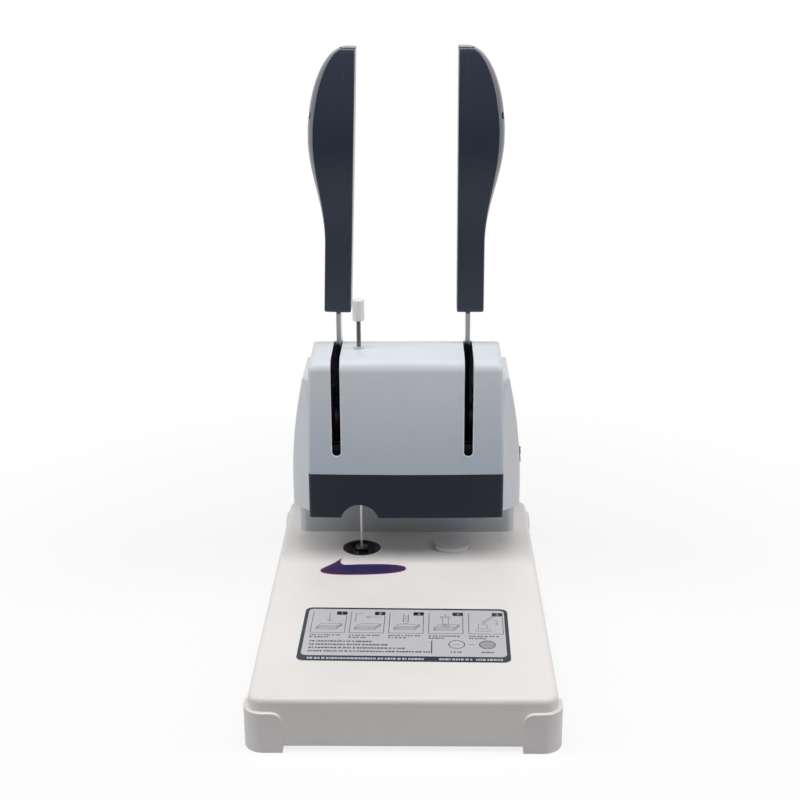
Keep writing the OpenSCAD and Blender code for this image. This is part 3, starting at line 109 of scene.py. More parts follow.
def arc(centre: Point2, radius: float, start: float, end: float, steps: int) -> list[Point2]:
    """Points along an arc between two angles in degrees, both ends included."""
    angles = [math.radians(start + (end - start) * i / steps) for i in range(steps + 1)]
    return [(centre[0] + radius * math.cos(a), centre[1] + radius * math.sin(a)) for a in angles]


def rectangle(left: float, low: float, right: float, high: float) -> list[Point2]:
    """Outline of a rectangle, counter-clockwise."""
    return [(left, low), (right, low), (right, high), (left, high)]


def rounded_box(left: float, low: float, right: float, high: float, radius: float) -> list[Point2]:
    """Outline of a rectangle with round corners, counter-clockwise."""
    corners = [(right - radius, high - radius, 0), (left + radius, high - radius, 90),
               (left + radius, low + radius, 180), (right - radius, low + radius, 270)]
    return [p for u, v, a in corners for p in arc((u, v), radius, a, a + 90, 6)]


def turned(degrees: float, axis: str) -> Matrix:
    """Turn about an axis."""
    return Matrix.Rotation(math.radians(degrees), 4, axis)


def moved(x: float, y: float, z: float) -> Matrix:
    """Move along the three axes."""
    return Matrix.Translation((x, y, z))


# ---------- shader graphs ----------

class Signal:
    """Output of a node, with arithmetic that adds Math nodes."""

    def __init__(self, graph: "Graph", socket: bpy.types.NodeSocket) -> None:
        """Keeps the socket and its graph."""
        self.graph = graph
        self.socket = socket

    def _combine(self, operation: str, first: "Value", second: "Value") -> "Signal":
        """Adds the Math node of one operation on two values."""
        return self.graph.node("ShaderNodeMath", {"operation": operation}, {0: first, 1: second})

    def __add__(self, other: "Value") -> "Signal":
        """Sum."""
        return self._combine("ADD", self, other)

    def __radd__(self, other: "Value") -> "Signal":
        """Sum, with the number first."""
        return self._combine("ADD", other, self)

    def __sub__(self, other: "Value") -> "Signal":
        """Difference."""
        return self._combine("SUBTRACT", self, other)

    def __rsub__(self, other: "Value") -> "Signal":
        """Difference, with the number first."""
        return self._combine("SUBTRACT", other, self)

    def __mul__(self, other: "Value") -> "Signal":
        """Product."""
        return self._combine("MULTIPLY", self, other)

    def __rmul__(self, other: "Value") -> "Signal":
        """Product, with the number first."""
        return self._combine("MULTIPLY", self, other)

    def band(self, low: float, high: float) -> "Signal":
        """Smooth step from 0 at low to 1 at high."""
        return self.graph.node("ShaderNodeMapRange", {"interpolation_type": "SMOOTHSTEP"},
                               {"Value": self, "From Min": low, "From Max": high})


Value = Signal | float | tuple[float, ...]

CLOUD_BAND = (0.3, 0.7)
EDGE_TURN = (0.02, 0.22)
WHITE = (1.0, 1.0, 1.0)


class Graph:
    """Node graph of one material or world."""

    def __init__(self, tree: bpy.types.NodeTree) -> None:
        """Empties the tree and keeps it."""
        self.tree = tree
        self.tree.nodes.clear()

    def node(self, kind: str, settings: dict[str, Any] | None = None,
             inputs: dict[str | int, Value] | None = None, output: str | int = 0) -> Signal:
        """Adds a node.

        Args:
            kind: Node type.
            settings: Attributes, set before the sockets.
            inputs: Values or links, by socket name or number.
            output: Name or number of the output to return.

        Returns:
            The chosen output.
        """
        made = self.tree.nodes.new(kind)
        for name, value in (settings or {}).items():
            setattr(made, name, value)
        for name, value in (inputs or {}).items():
            socket = made.inputs[name]
            if isinstance(value, Signal):
                self.tree.links.new(value.socket, socket)
            elif socket.type == "RGBA":
                socket.default_value = (*value, 1.0)
            else:
                socket.default_value = value
        return Signal(self, made.outputs[output] if len(made.outputs) else None)

    def place(self, stretch: Point3 = (1.0, 1.0, 1.0)) -> Signal:
        """Position on the part at rest in millimetres, with a factor for each axis."""
        at = self.node("ShaderNodeTexCoord", output="Object")
        return self.node("ShaderNodeVectorMath", {"operation": "MULTIPLY"},
                         {0: at, 1: tuple(MM_IN_METRE * s for s in stretch)})

    def axis(self, at: Signal, name: str) -> Signal:
        """One axis of a position."""
        return self.node("ShaderNodeSeparateXYZ", inputs={0: at}, output=name)

    def noise(self, at: Signal, feature: float, detail: float = 2.0) -> Signal:
        """Smooth noise of 0 to 1, with features of a size in millimetres and octaves of finer noise."""
        return self.node("ShaderNodeTexNoise", {"noise_dimensions": "3D"},
                         {"Vector": at, "Scale": 1.0 / feature, "Detail": detail})

    def mix(self, factor: Value, first: Value, second: Value) -> Signal:
        """Mixes two colours by the share of the second one."""
        return self.node("ShaderNodeMix", {"data_type": "RGBA"}, {0: factor, 6: first, 7: second}, 2)

    def rays(self) -> tuple[Signal, Signal]:
        """Marks of the camera's rays, and of gloss and glass rays together."""
        camera, gloss, glass = (self.node("ShaderNodeLightPath", output=f"Is {kind} Ray")
                                for kind in ("Camera", "Glossy", "Transmission"))
        return camera, gloss + glass

    def edges(self, radius: float) -> tuple[Signal, Signal]:
        """Finds outer and inner edges.

        Args:
            radius: Reach of the edge in millimetres.

        Returns:
            A mask that is 1 on an edge, and the normal of the eased edge.
        """
        eased = self.node("ShaderNodeBevel", {"samples": 4}, {"Radius": radius * MM})
        flat = self.node("ShaderNodeNewGeometry", output="Normal")
        dot = self.node("ShaderNodeVectorMath", {"operation": "DOT_PRODUCT"}, {0: eased, 1: flat}, "Value")
        return (1.0 - dot).band(*EDGE_TURN), eased

    def bump(self, height: Signal, depth: float, normal: Signal | None = None) -> Signal:
        """Turns a height of 0 to 1 into a normal.

        Args:
            height: The relief.
            depth: Its depth in millimetres.
            normal: Normal that it is laid on.

        Returns:
            The new normal.
        """
        inputs: dict[str | int, Value] = {"Height": height, "Distance": depth * MM, "Strength": 1.0}
        if normal is not None:
            inputs["Normal"] = normal
        return self.node("ShaderNodeBump", inputs=inputs)


# ---------- finishes ----------

class Brush(Enum):
    """Direction of the fine lines on metal, as a stretch of the noise along each axis."""

    ALONG_X = (0.03, 1.0, 1.0)
    ALONG_Z = (1.0, 1.0, 0.03)
    TURNED = (0.04, 0.04, 1.0)
    TURNED_X = (1.0, 0.04, 0.04)
    CAST = (1.0, 1.0, 1.0)


@dataclass(frozen=True)
class Finish:
    """Finish of a surface: its name, colour and roughness."""

    name: str
    colour: Colour
    roughness: float

    def layers(self, graph: Graph) -> dict[str, Value]:
        """Values for the surface shader's sockets; each kind of finish has its own."""
        raise NotImplementedError

    def material(self) -> bpy.types.Material:
        """Makes the material once.

        Returns:
            The material.
        """
        made = bpy.data.materials.get(self.name)
        if made is None:
            made = bpy.data.materials.new(self.name)
            made.use_nodes = True
            graph = Graph(made.node_tree)
            made.diffuse_color = (*self.colour, 1.0)
            surface = graph.node("ShaderNodeBsdfPrincipled", inputs=self.layers(graph))
            graph.node("ShaderNodeOutputMaterial", inputs={"Surface": self.surface(graph, surface)})
        return made

    def surface(self, graph: Graph, shaded: Signal) -> Signal:
        """Returns the shader that reaches the output; a finish may lay more on it."""
        return shaded


@dataclass(frozen=True)
class Moulded(Finish):
    """Moulded plastic: fine grain, faint clouds, handling marks, glossier edges with a painted highlight, and
    a painted shade towards the bottom where one is set.
    """

    grain: float = 0.5
    grain_depth: float = 0.010
    pits: float = 0.12
    cloud_size: float = 45.0
    clouds: float = 0.025
    mark_size: float = 9.0
    marks: float = 0.10
    edge: float = 0.5
    painted_edge_highlight: float = 1.25
    edge_gloss: float = 0.08
    specular: float = 0.5
    painted_shade_fall: tuple[float, float, Colour] | None = None

    def layers(self, graph: Graph) -> dict[str, Value]:
        """Lays clouds, marks and grain on the base colour, a painted highlight on edges, and a painted shade
        where one is set: a fall to a deeper tone towards the bottom.

        Args:
            graph: Graph of the material.

        Returns:
            Values for the shader's sockets.
        """
        at = graph.place()
        rim, eased = graph.edges(self.edge)
        clouds = graph.noise(at, self.cloud_size, 3.0).band(*CLOUD_BAND)
        grain = graph.noise(at, self.grain, 3.0)
        marks = graph.noise(graph.place((1.0, 1.0, 0.35)), self.mark_size, 5.0).band(0.56, 0.74)
        tone = graph.mix(clouds, shade(self.colour, 1 - self.clouds), shade(self.colour, 1 + self.clouds))
        tone = graph.mix(grain.band(0.35, 0.75) * self.pits, tone, shade(self.colour, 0.86))
        # painted shade: where set, the colour falls to a deeper tone towards the bottom
        if self.painted_shade_fall:
            low, high, painted_shade_tone = self.painted_shade_fall
            tone = graph.mix(graph.axis(at, "Z").band(low, high), painted_shade_tone, tone)
        # painted highlight: the colour is lightened on edges by the edge factor
        tone = graph.mix(rim * 0.5, tone, shade(self.colour, self.painted_edge_highlight))
        rough = self.roughness + 0.10 * (grain - 0.5) - self.marks * marks - self.edge_gloss * rim
        return {"Base Color": tone, "Roughness": rough, "Normal": graph.bump(grain, self.grain_depth, eased),
                "Specular IOR Level": self.specular}


@dataclass(frozen=True)
class PowderCoat(Finish):
    """Powder coat on sheet metal: orange peel, faint clouds and fine specks."""

    peel: float = 1.6
    peel_depth: float = 0.035
    grain: float = 0.45
    cloud_size: float = 70.0
    specks_per_mm: float = 0.42
    specks: float = 0.10
    edge: float = 0.8
    specular: float = 0.45

    def layers(self, graph: Graph) -> dict[str, Value]:
        """Lays clouds, fine grain and specks on the paint, a faint painted highlight on its edges, and peel
        in its relief.

        Args:
            graph: Graph of the material.

        Returns:
            Values for the shader's sockets.
        """
        at = graph.place()
        rim, eased = graph.edges(self.edge)
        peel = graph.noise(at, self.peel, 1.5)
        fine = graph.noise(at, self.grain, 2.0)
        clouds = graph.noise(at, self.cloud_size, 3.0).band(*CLOUD_BAND)
        cells = graph.node("ShaderNodeTexVoronoi", inputs={"Vector": at, "Scale": self.specks_per_mm})
        tone = graph.mix(clouds, shade(self.colour, 0.975), shade(self.colour, 1.015))
        tone = graph.mix(fine.band(0.4, 0.7) * 0.10, tone, shade(self.colour, 0.9))
        tone = graph.mix(cells.band(0.16, 0.07) * self.specks, tone, shade(self.colour, 0.72))
        # painted highlight: the paint is lightened slightly on edges
        tone = graph.mix(rim * 0.25, tone, shade(self.colour, 1.04))
        rough = self.roughness + 0.12 * (clouds - 0.5) + 0.10 * (fine - 0.5)
        relief = peel * 0.8 + fine * 0.2
        return {"Base Color": tone, "Roughness": rough, "Normal": graph.bump(relief, self.peel_depth, eased),
                "Specular IOR Level": self.specular}


@dataclass(frozen=True)
class Metal(Finish):
    """Bare or plated metal: fine lines, dull patches, a painted highlight on edges, and a painted shade below
    a height where one is set.
    """

    brush: Brush = Brush.CAST
    line: float = 0.35
    line_depth: float = 0.006
    patch_size: float = 7.0
    tarnish: float = 0.12
    metallic: float = 1.0
    edge: float = 0.35
    painted_shade_below: float | None = None
    painted_shade_fade: float = 4.0
    painted_shade_colour: Colour = srgb(38, 40, 46)

    def layers(self, graph: Graph) -> dict[str, Value]:
        """Lays lines and tarnish on the metal, a painted highlight on its edges, and a painted shade below a
        height where one is set.

        Args:
            graph: Graph of the material.

        Returns:
            Values for the shader's sockets.
        """
        lines = graph.noise(graph.place(self.brush.value), self.line, 3.0)
        patches = graph.noise(graph.place(), self.patch_size, 4.0).band(0.42, 0.72)
        rim, eased = graph.edges(self.edge)
        tone = graph.mix(lines * 0.35, shade(self.colour, 1.06), shade(self.colour, 0.82))
        tone = graph.mix(patches * self.tarnish, tone, shade(self.colour, 0.45))
        # painted highlight: the colour is lightened on edges
        tone = graph.mix(rim * 0.6, tone, shade(self.colour, 1.3))
        rough = self.roughness + 0.22 * (lines - 0.5) + 0.14 * patches - 0.10 * rim
        # painted shade: dark below a set height, with a ragged fade, standing in for the shade inside the
        # head
        if self.painted_shade_below is not None:
            height = graph.axis(graph.place(), "Z")
            bare = (height + 3.0 * patches).band(self.painted_shade_below, self.painted_shade_below + self.painted_shade_fade)
            tone = graph.mix(bare, self.painted_shade_colour, tone)
            rough = rough + 0.25 * (1.0 - bare)
        return {"Base Color": tone, "Roughness": rough, "Metallic": self.metallic,
                "Normal": graph.bump(lines, self.line_depth, eased)}


@dataclass(frozen=True)
class Rubber(Finish):
    """Dull rubber with a fine talc bloom."""

    grain: float = 0.3
    grain_depth: float = 0.02
    bloom_size: float = 5.0

    def layers(self, graph: Graph) -> dict[str, Value]:
        """Lays bloom and grain on the rubber.

        Args:
            graph: Graph of the material.

        Returns:
            Values for the shader's sockets.
        """
        at = graph.place()
        grain = graph.noise(at, self.grain, 3.0)
        bloom = graph.noise(at, self.bloom_size, 4.0).band(0.45, 0.75)
        tone = graph.mix(bloom * 0.3, self.colour, shade(self.colour, 2.2))
        return {"Base Color": tone, "Roughness": self.roughness + 0.15 * bloom - 0.1 * grain,
                "Normal": graph.bump(grain, self.grain_depth)}


@dataclass(frozen=True)
class Paper(Finish):
    """Studio paper: white to the camera, to gloss and glass behind the machine, and dull to other rays."""

    bounce: float = 0.62
    near: float = 0.8
    clear: Point2 = (250.0, 700.0)
    gloss_y: Point2 = (-750.0, -50.0)

    def layers(self, graph: Graph) -> dict[str, Value]:
        """Lays a faint grain on the paper.

        Args:
            graph: Graph of the material.

        Returns:
            Values for the shader's sockets.
        """
        grain = graph.noise(graph.place(), 3.0, 3.0)
        return {"Base Color": graph.mix(grain, self.colour, shade(self.colour, 0.985)),
                "Roughness": self.roughness, "Specular IOR Level": 0.0}

    def surface(self, graph: Graph, shaded: Signal) -> Signal:
        """Mixes the paper with its own white for the camera, more of it far from the machine.

        Args:
            graph: Graph of the material.
            shaded: The lit paper.

        Returns:
            The mixed shader.
        """
        away = graph.node("ShaderNodeVectorMath", {"operation": "LENGTH"}, {0: graph.place()}, "Value")
        white = graph.node("ShaderNodeEmission", inputs={"Color": WHITE, "Strength": 1.0})
        dull = graph.node("ShaderNodeBsdfDiffuse", inputs={"Color": shade(self.colour, self.bounce)})
        share = self.near + (1.0 - self.near) * away.band(*self.clear)
        seen = graph.node("ShaderNodeMixShader", inputs={0: share, 1: shaded, 2: white})
        camera, mirrored = graph.rays()
        behind = graph.axis(graph.place(), "Y").band(*self.gloss_y)
        return graph.node("ShaderNodeMixShader", inputs={0: camera + mirrored * behind, 1: dull, 2: seen})


@dataclass(frozen=True)
class Laminate(Finish):
    """Lacquered circuit board with raised tracks."""

    tracks_per_mm: float = 0.16
    track_w: float = 0.05
    grain: float = 1.2
    coat: float = 0.4

    def layers(self, graph: Graph) -> dict[str, Value]:
        """Lays tracks and grain on the lacquer.

        Args:
            graph: Graph of the material.

        Returns:
            Values for the shader's sockets.
        """
        at = graph.place((1.0, 0.0, 1.0))
        tracks = graph.node("ShaderNodeTexBrick", output=1,
                            inputs={"Vector": at, "Scale": self.tracks_per_mm, "Mortar Size": self.track_w})
        grain = graph.noise(graph.place(), self.grain, 2.0)
        tone = graph.mix(tracks * 0.7, self.colour, shade(self.colour, 2.1))
        tone = graph.mix(grain.band(0.4, 0.8) * 0.2, tone, shade(self.colour, 0.6))
        return {"Base Color": tone, "Roughness": self.roughness + 0.2 * (grain - 0.5),
                "Normal": graph.bump(tracks + 0.2 * grain, 0.05), "Coat Weight": self.coat}


@dataclass(frozen=True)
class Print(Finish):
    """Printed film: a faint screen of the print, fine scuffs and a satin skin."""

    screen: float = 0.4
    screen_depth: float = 0.006
    scuff_size: float = 3.0
    scuffs: float = 0.08
    scuff_colour: Colour = srgb(225, 225, 228)
    second: Colour | None = None
    fade: tuple[Point3, float, float] | None = None

    def layers(self, graph: Graph) -> dict[str, Value]:
        """Lays the print's screen, and a fade to a second colour where there is one.

        Args:
            graph: Graph of the material.

        Returns:
            Values for the shader's sockets.
        """
        screen = graph.noise(graph.place(), self.screen, 2.0)
        scuffs = graph.noise(graph.place((1.0, 0.3, 1.0)), self.scuff_size, 5.0).band(0.58, 0.72)
        tone: Value = self.colour
        if self.second and self.fade:
            centre, inner, outer = self.fade
            away = graph.node("ShaderNodeVectorMath", {"operation": "DISTANCE"},
                              {0: graph.place((0.33, 1.0, 0.0)), 1: centre}, "Value")
            tone = graph.mix(away.band(inner, outer), tone, self.second)
        tone = graph.mix(screen.band(0.35, 0.7) * 0.14, tone, shade(self.colour, 0.8))
        tone = graph.mix(scuffs * self.scuffs, tone, self.scuff_colour)
        rough = self.roughness + 0.12 * (screen - 0.5) + 1.5 * self.scuffs * scuffs
        return {"Base Color": tone, "Roughness": rough, "Normal": graph.bump(screen, self.screen_depth)}


FLOOR = Paper("floor_paper", srgb(250, 250, 251), 0.9)
PAINT = PowderCoat("cream_powder_coat", srgb(237, 233, 230), 0.42)
# moulded finishes: an edge factor above 1 lightens edges as a painted highlight
SHELL = Moulded("shell_plastic_satin", srgb(216, 219, 223), 0.36, grain=0.7, grain_depth=0.008)
# front cover: the fall is a painted shade, darker and bluer below 232 mm and deepest at 120 mm
COVER = Moulded("front_cover_satin", srgb(214, 219, 223), 0.38, grain=0.7, grain_depth=0.008,
                painted_shade_fall=(120.0, 232.0, srgb(184, 195, 209)))
THROAT = Moulded("throat_plastic_satin", srgb(203, 206, 211), 0.4, grain=0.7, grain_depth=0.008)
GUARD = Moulded("guard_plastic_matt", srgb(233, 230, 228), 0.5, grain=0.6, grain_depth=0.014)
LIP = Moulded("slot_lip_plastic", srgb(226, 226, 236), 0.3, grain=0.6, grain_depth=0.004, painted_edge_highlight=1.02)
VISOR = Moulded("visor_plastic_dark", srgb(24, 28, 44), 0.38, grain=0.6, grain_depth=0.008, painted_edge_highlight=1.8,
                specular=0.35)
GRIP = Moulded("grip_plastic_navy", srgb(35, 44, 62), 0.22, grain=0.55, grain_depth=0.006, edge=0.18,
               painted_edge_highlight=3.0, specular=0.9, marks=0.03)
BLACK = Moulded("black_plastic", srgb(30, 31, 34), 0.4, painted_edge_highlight=2.2)
BOWL = Moulded("insulating_ring_gloss", srgb(16, 18, 24), 0.16, grain=1.2, grain_depth=0.004, painted_edge_highlight=2.0)
NYLON = Moulded("white_nylon", srgb(235, 234, 231), 0.34, grain=0.6, grain_depth=0.008, painted_edge_highlight=1.05)
PAD = Moulded("drill_pad_plastic", srgb(229, 227, 226), 0.3, grain=0.9, grain_depth=0.012, painted_edge_highlight=1.05)
ROCKER = Moulded("rocker_gloss", srgb(150, 38, 32), 0.2, grain=0.8, grain_depth=0.004, painted_edge_highlight=1.3)
ENAMEL = Moulded("motor_enamel", srgb(48, 50, 56), 0.35, grain=1.6, grain_depth=0.02, painted_edge_highlight=1.6)
ZINC = Metal("zinc_plate", srgb(172, 176, 182), 0.42, tarnish=0.25)
# lever strip: dark below 236 mm as a painted shade where it runs into the head
STRIP = Metal("lever_strip_steel", srgb(205, 207, 210), 0.3, brush=Brush.ALONG_Z, tarnish=0.08,
              painted_shade_below=236.0)
PIN = Metal("inlet_pin_steel", srgb(205, 207, 210), 0.3, brush=Brush.TURNED, tarnish=0.08)
TURNED = Metal("turned_steel", srgb(208, 210, 213), 0.26, brush=Brush.TURNED)
TURNED_X = Metal("turned_steel_cross", srgb(204, 206, 210), 0.28, brush=Brush.TURNED_X)
ROD = Metal("blued_rod_steel", srgb(118, 112, 108), 0.34, brush=Brush.TURNED, tarnish=0.3)
NEEDLE = Metal("needle_steel", srgb(214, 215, 218), 0.36, brush=Brush.ALONG_Z, line_depth=0.002, tarnish=0.02)
ALLOY = Metal("cast_alloy", srgb(96, 99, 106), 0.55, line=0.9, line_depth=0.03, tarnish=0.3)
CARRIAGE = Metal("blackened_carriage_alloy", srgb(45, 48, 54), 0.5, line=0.9, line_depth=0.03, tarnish=0.3)
# gear sector and rack: kept dark as a painted shade for the unlit inside of the head
GEAR = Metal("gear_steel_painted_shade", srgb(62, 65, 72), 0.42, brush=Brush.ALONG_X, tarnish=0.3)
DIE = Metal("die_steel", srgb(122, 122, 124), 0.2, brush=Brush.TURNED, tarnish=0.15)
BRASS = Metal("die_brass", srgb(205, 182, 128), 0.24, brush=Brush.TURNED, tarnish=0.2)
WIRE = Metal("spring_wire", srgb(190, 192, 196), 0.22, tarnish=0.1)
SCREW = Metal("screw_zinc", srgb(196, 198, 202), 0.3, line=0.6, tarnish=0.2)
BELT = Rubber("belt_rubber", srgb(28, 28, 29), 0.75)
BOARD = Laminate("board_lacquer", srgb(38, 92, 58), 0.35)
FILM = Print("sheet_film", srgb(200, 199, 202), 0.34)
INK_NAVY = Print("sheet_ink_navy", srgb(34, 42, 58), 0.36)
INK_LINE = Print("sheet_ink_line", srgb(78, 80, 86), 0.4)
INK_BLACK = Print("sheet_ink_black", srgb(26, 27, 30), 0.38)
INK_LIGHT = Print("sheet_ink_light", srgb(196, 200, 208), 0.36)
STICKER_RIM = Print("sticker_rim", srgb(240, 218, 224), 0.3, scuffs=0.0)
STICKER_FACE = Print("sticker_face", srgb(36, 33, 84), 0.3, scuffs=0.02, second=srgb(72, 36, 84),
                     fade=((-12.7, 31.0, 0.0), 5.0, 13.0))


def pair(*names: str) -> tuple[str, ...]:
    """Names of nodes that the riveting and the drilling side both have."""
    return tuple(f"{side}_{name}" for name in names for side in ("rivet", "drill"))


NODE_FINISHES: dict[Finish, tuple[str, ...]] = {
    PAINT: ("base_cover",),
    THROAT: ("throat_cover",),
    SHELL: ("side_cover_left", "side_cover_right", "front_cover", "rear_cover"),
    GUARD: ("corner_guards",),
    VISOR: ("front_visor",),
    GRIP: pair("grip_inner", "grip_outer"),
    BLACK: ("power_inlet", "switch_housing"),
    BOWL: ("die_insulator",),
    NYLON: ("rod_knob",),
    PAD: ("drill_pad",),
    ROCKER: ("power_rocker",),
    ENAMEL: ("drill_motor",),
    ZINC: ("base_plate", "main_frame", "head_floor", "lower_heater", "pad_seat", "drill_chuck"),
    STRIP: pair("lever_arm"),
    PIN: ("inlet_pins",),
    TURNED: ("guide_posts", *pair("quill"), "drill_spindle", "hollow_drill", "motor_pulley", "rod_bushing"),
    TURNED_X: ("cross_axle", "axle_collars"),
    ROD: ("guide_rod",),
    NEEDLE: ("needle",),
    ALLOY: ("guide_bracket", "upper_heater"),
    CARRIAGE: pair("carriage"),
    GEAR: pair("gear_sector", "rack"),
    DIE: ("lower_die",),
    BRASS: ("upper_die", "spindle_bearings"),
    WIRE: pair("return_spring"),
    SCREW: ("base_screws", "cover_screws", *pair("arm_screws", "grip_screws")),
    BELT: ("drive_belt",),
    BOARD: ("control_board",),
}


# ---------- mesh building ----------

AXIS_X = Vector((1.0, 0.0, 0.0))
ASKEW = Vector((0.6, 0.5, 0.62))
NEARLY_X = 0.9


def smoothed(piece: bpy.types.Object, sharp: float, even: bool) -> bpy.types.Object:
    """Shades a piece smooth.

    Args:
        piece: The piece.
        sharp: Angle in degrees above which an edge shades sharp.
        even: True weights the normals by face area, for flat faces between fillets.

    Returns:
        The same piece.
    """
    piece.data.shade_smooth()
    piece.data.set_sharp_from_angle(angle=math.radians(sharp))
    if even:
        piece.modifiers.new("even_faces", "WEIGHTED_NORMAL").keep_sharp = True
    return piece


def settle(piece: bpy.types.Object, body: str,
           node: str | None = None) -> bpy.types.Object:
    """Lets a piece ride on its body.

    Args:
        piece: The piece.
        body: Name of the body.
        node: Node of the solids that it stands for, if it does.

    Returns:
        The same piece.
    """
    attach(piece, body)
    if node:
        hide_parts(node)
    return piece


class Shape:
    """Points and faces of one mesh, in millimetres."""

    def __init__(self) -> None:
        """Starts empty."""
        self.points: list[Vector] = []
        self.faces: list[tuple[int, ...]] = []

    def add(self, points: Iterable[Sequence[float]], faces: Iterable[Sequence[int]],
            place: Matrix | None = None) -> "Shape":
        """Adds points and faces.

        Args:
            points: The points.
            faces: Faces that count from the first of these points.
            place: Transform of the points.

        Returns:
            This shape.
        """
        first = len(self.points)
        move = place or Matrix.Identity(4)
        self.points += [move @ Vector(p) for p in points]
        self.faces += [tuple(first + i for i in face) for face in faces]
        return self

    def loft(self, rings: Sequence[Sequence[Sequence[float]]], closed: bool = False,
             place: Matrix | None = None) -> "Shape":
        """Adds a skin over rings of equal length.

        Args:
            rings: The rings.
            closed: True joins the last ring to the first; otherwise both ends get a face.
            place: Transform of the points.

        Returns:
            This shape.
        """
        size, count = len(rings[0]), len(rings)
        faces: list[Sequence[int]] = []
        for j in range(count if closed else count - 1):
            low, high = j * size, (j + 1) % count * size
            faces += [(low + i, low + (i + 1) % size, high + (i + 1) % size, high + i) for i in range(size)]
        if not closed:
            faces += [tuple(reversed(range(size))), tuple(range((count - 1) * size, count * size))]
        return self.add([p for ring in rings for p in ring], faces, place)

    def prism(self, outline: Sequence[Point2], low: float, high: float,
              place: Matrix | None = None) -> "Shape":
        """Adds an upright prism over an outline, from one height to another."""
        return self.loft([[(*p, z) for p in outline] for z in (low, high)], place=place)

    def lathe(self, profile: Sequence[Point2], steps: int = 32, place: Matrix | None = None) -> "Shape":
        """Adds a body turned about Z from radii above zero and their heights, with steps round the axis."""
        rings = [[(r * math.cos(a), r * math.sin(a), z) for a in turns(steps)] for r, z in profile]
        return self.loft(rings, place=place)

    def stroke(self, path: Sequence[Point2], width: float, low: float, high: float, closed: bool = False,
               place: Matrix | None = None) -> "Shape":
        """Adds a line of even width drawn on a plane.

        Args:
            path: Its middle line.
            width: Its width.
            low: Height of its underside.
            high: Height of its top.
            closed: True joins its ends.
            place: Transform of the points.

        Returns:
            This shape.
        """
        count = len(path)
        rings = []
        for i, (u, v) in enumerate(path):
            before = path[i - 1] if i or closed else path[i]
            after = path[(i + 1) % count] if i < count - 1 or closed else path[i]
            along = Vector((after[0] - before[0], after[1] - before[1])).normalized() * width / 2
            left, right = (u - along.y, v + along.x), (u + along.y, v - along.x)
            rings.append([(*left, low), (*right, low), (*right, high), (*left, high)])
        return self.loft(rings, closed, place)

    def tube(self, path: Sequence[Point3], radius: float, sides: int = 10) -> "Shape":
        """Adds a closed round bead along a loop.

        Args:
            path: Points of the loop.
            radius: Radius of the bead.
            sides: Points round the bead.

        Returns:
            This shape.
        """
        rings = []
        count = len(path)
        for i, p in enumerate(path):
            along = (Vector(path[(i + 1) % count]) - Vector(path[i - 1])).normalized()
            side = along.cross(ASKEW if abs(along.x) > NEARLY_X else AXIS_X).normalized()
            up = side.cross(along)
            rings.append([tuple(Vector(p) + radius * (math.cos(a) * side + math.sin(a) * up))
                          for a in turns(sides)])
        return self.loft(rings, closed=True)

    def object(self, name: str, finish: Finish, sharp: float = 35.0, even: bool = False) -> bpy.types.Object:
        """Makes the object.

        Args:
            name: Name of the piece.
            finish: Its finish.
            sharp: Angle in degrees above which an edge shades sharp.
            even: True weights the normals by face area, for flat faces between fillets.

        Returns:
            The object, in metres.
        """
        mesh = bpy.data.meshes.new(name)
        mesh.from_pydata([tuple(p * MM) for p in self.points], [], self.faces)
        work = bmesh.new()
        work.from_mesh(mesh)
        bmesh.ops.recalc_face_normals(work, faces=work.faces)
        work.to_mesh(mesh)
        work.free()
        mesh.materials.append(finish.material())
        piece = bpy.data.objects.new(name, mesh)
        bpy.context.scene.collection.objects.link(piece)
        return smoothed(piece, sharp, even)


def carved(body: Shape, cutters: Sequence[Shape], name: str, finish: Finish, sharp: float = 35.0,
           even: bool = False) -> bpy.types.Object:
    """Cuts shapes out of another, one after the other.

    Args:
        body: Shape that stays.
        cutters: Shapes that are cut away.
        name: Name of the piece.
        finish: Its finish.
        sharp: Angle in degrees above which an edge shades sharp.
        even: True weights the normals by face area.

    Returns:
        The cut piece.
    """
    piece = body.object(name, finish)
    tools = [cutter.object(f"{name}_tool_{i}", finish) for i, cutter in enumerate(cutters)]
    for tool in tools:
        cut = piece.modifiers.new("cut", "BOOLEAN")
        cut.object, cut.operation, cut.solver = tool, "DIFFERENCE", "EXACT"
    bpy.context.view_layer.update()
    result = bpy.data.meshes.new_from_object(piece.evaluated_get(bpy.context.evaluated_depsgraph_get()))
    result.name = name
    piece.modifiers.clear()
    piece.data = result
    for tool in tools:
        bpy.data.objects.remove(tool)
    return smoothed(piece, sharp, even)


# ---------- sub-assemblies ----------

ALONG_X = Matrix(((0, 0, 1, 0), (1, 0, 0, 0), (0, 1, 0, 0), (0, 0, 0, 1)))
ROLL_STEPS = range(0, 91, 5)


class Side(Enum):
    """Side of the machine, as the sign of X."""

    LEFT = -1
    RIGHT = 1


class SubAssembly:
    """A group of pieces that is built and dressed together."""

    def build(self) -> list[bpy.types.Object]:
        """Builds the pieces; each group has its own."""
        raise NotImplementedError


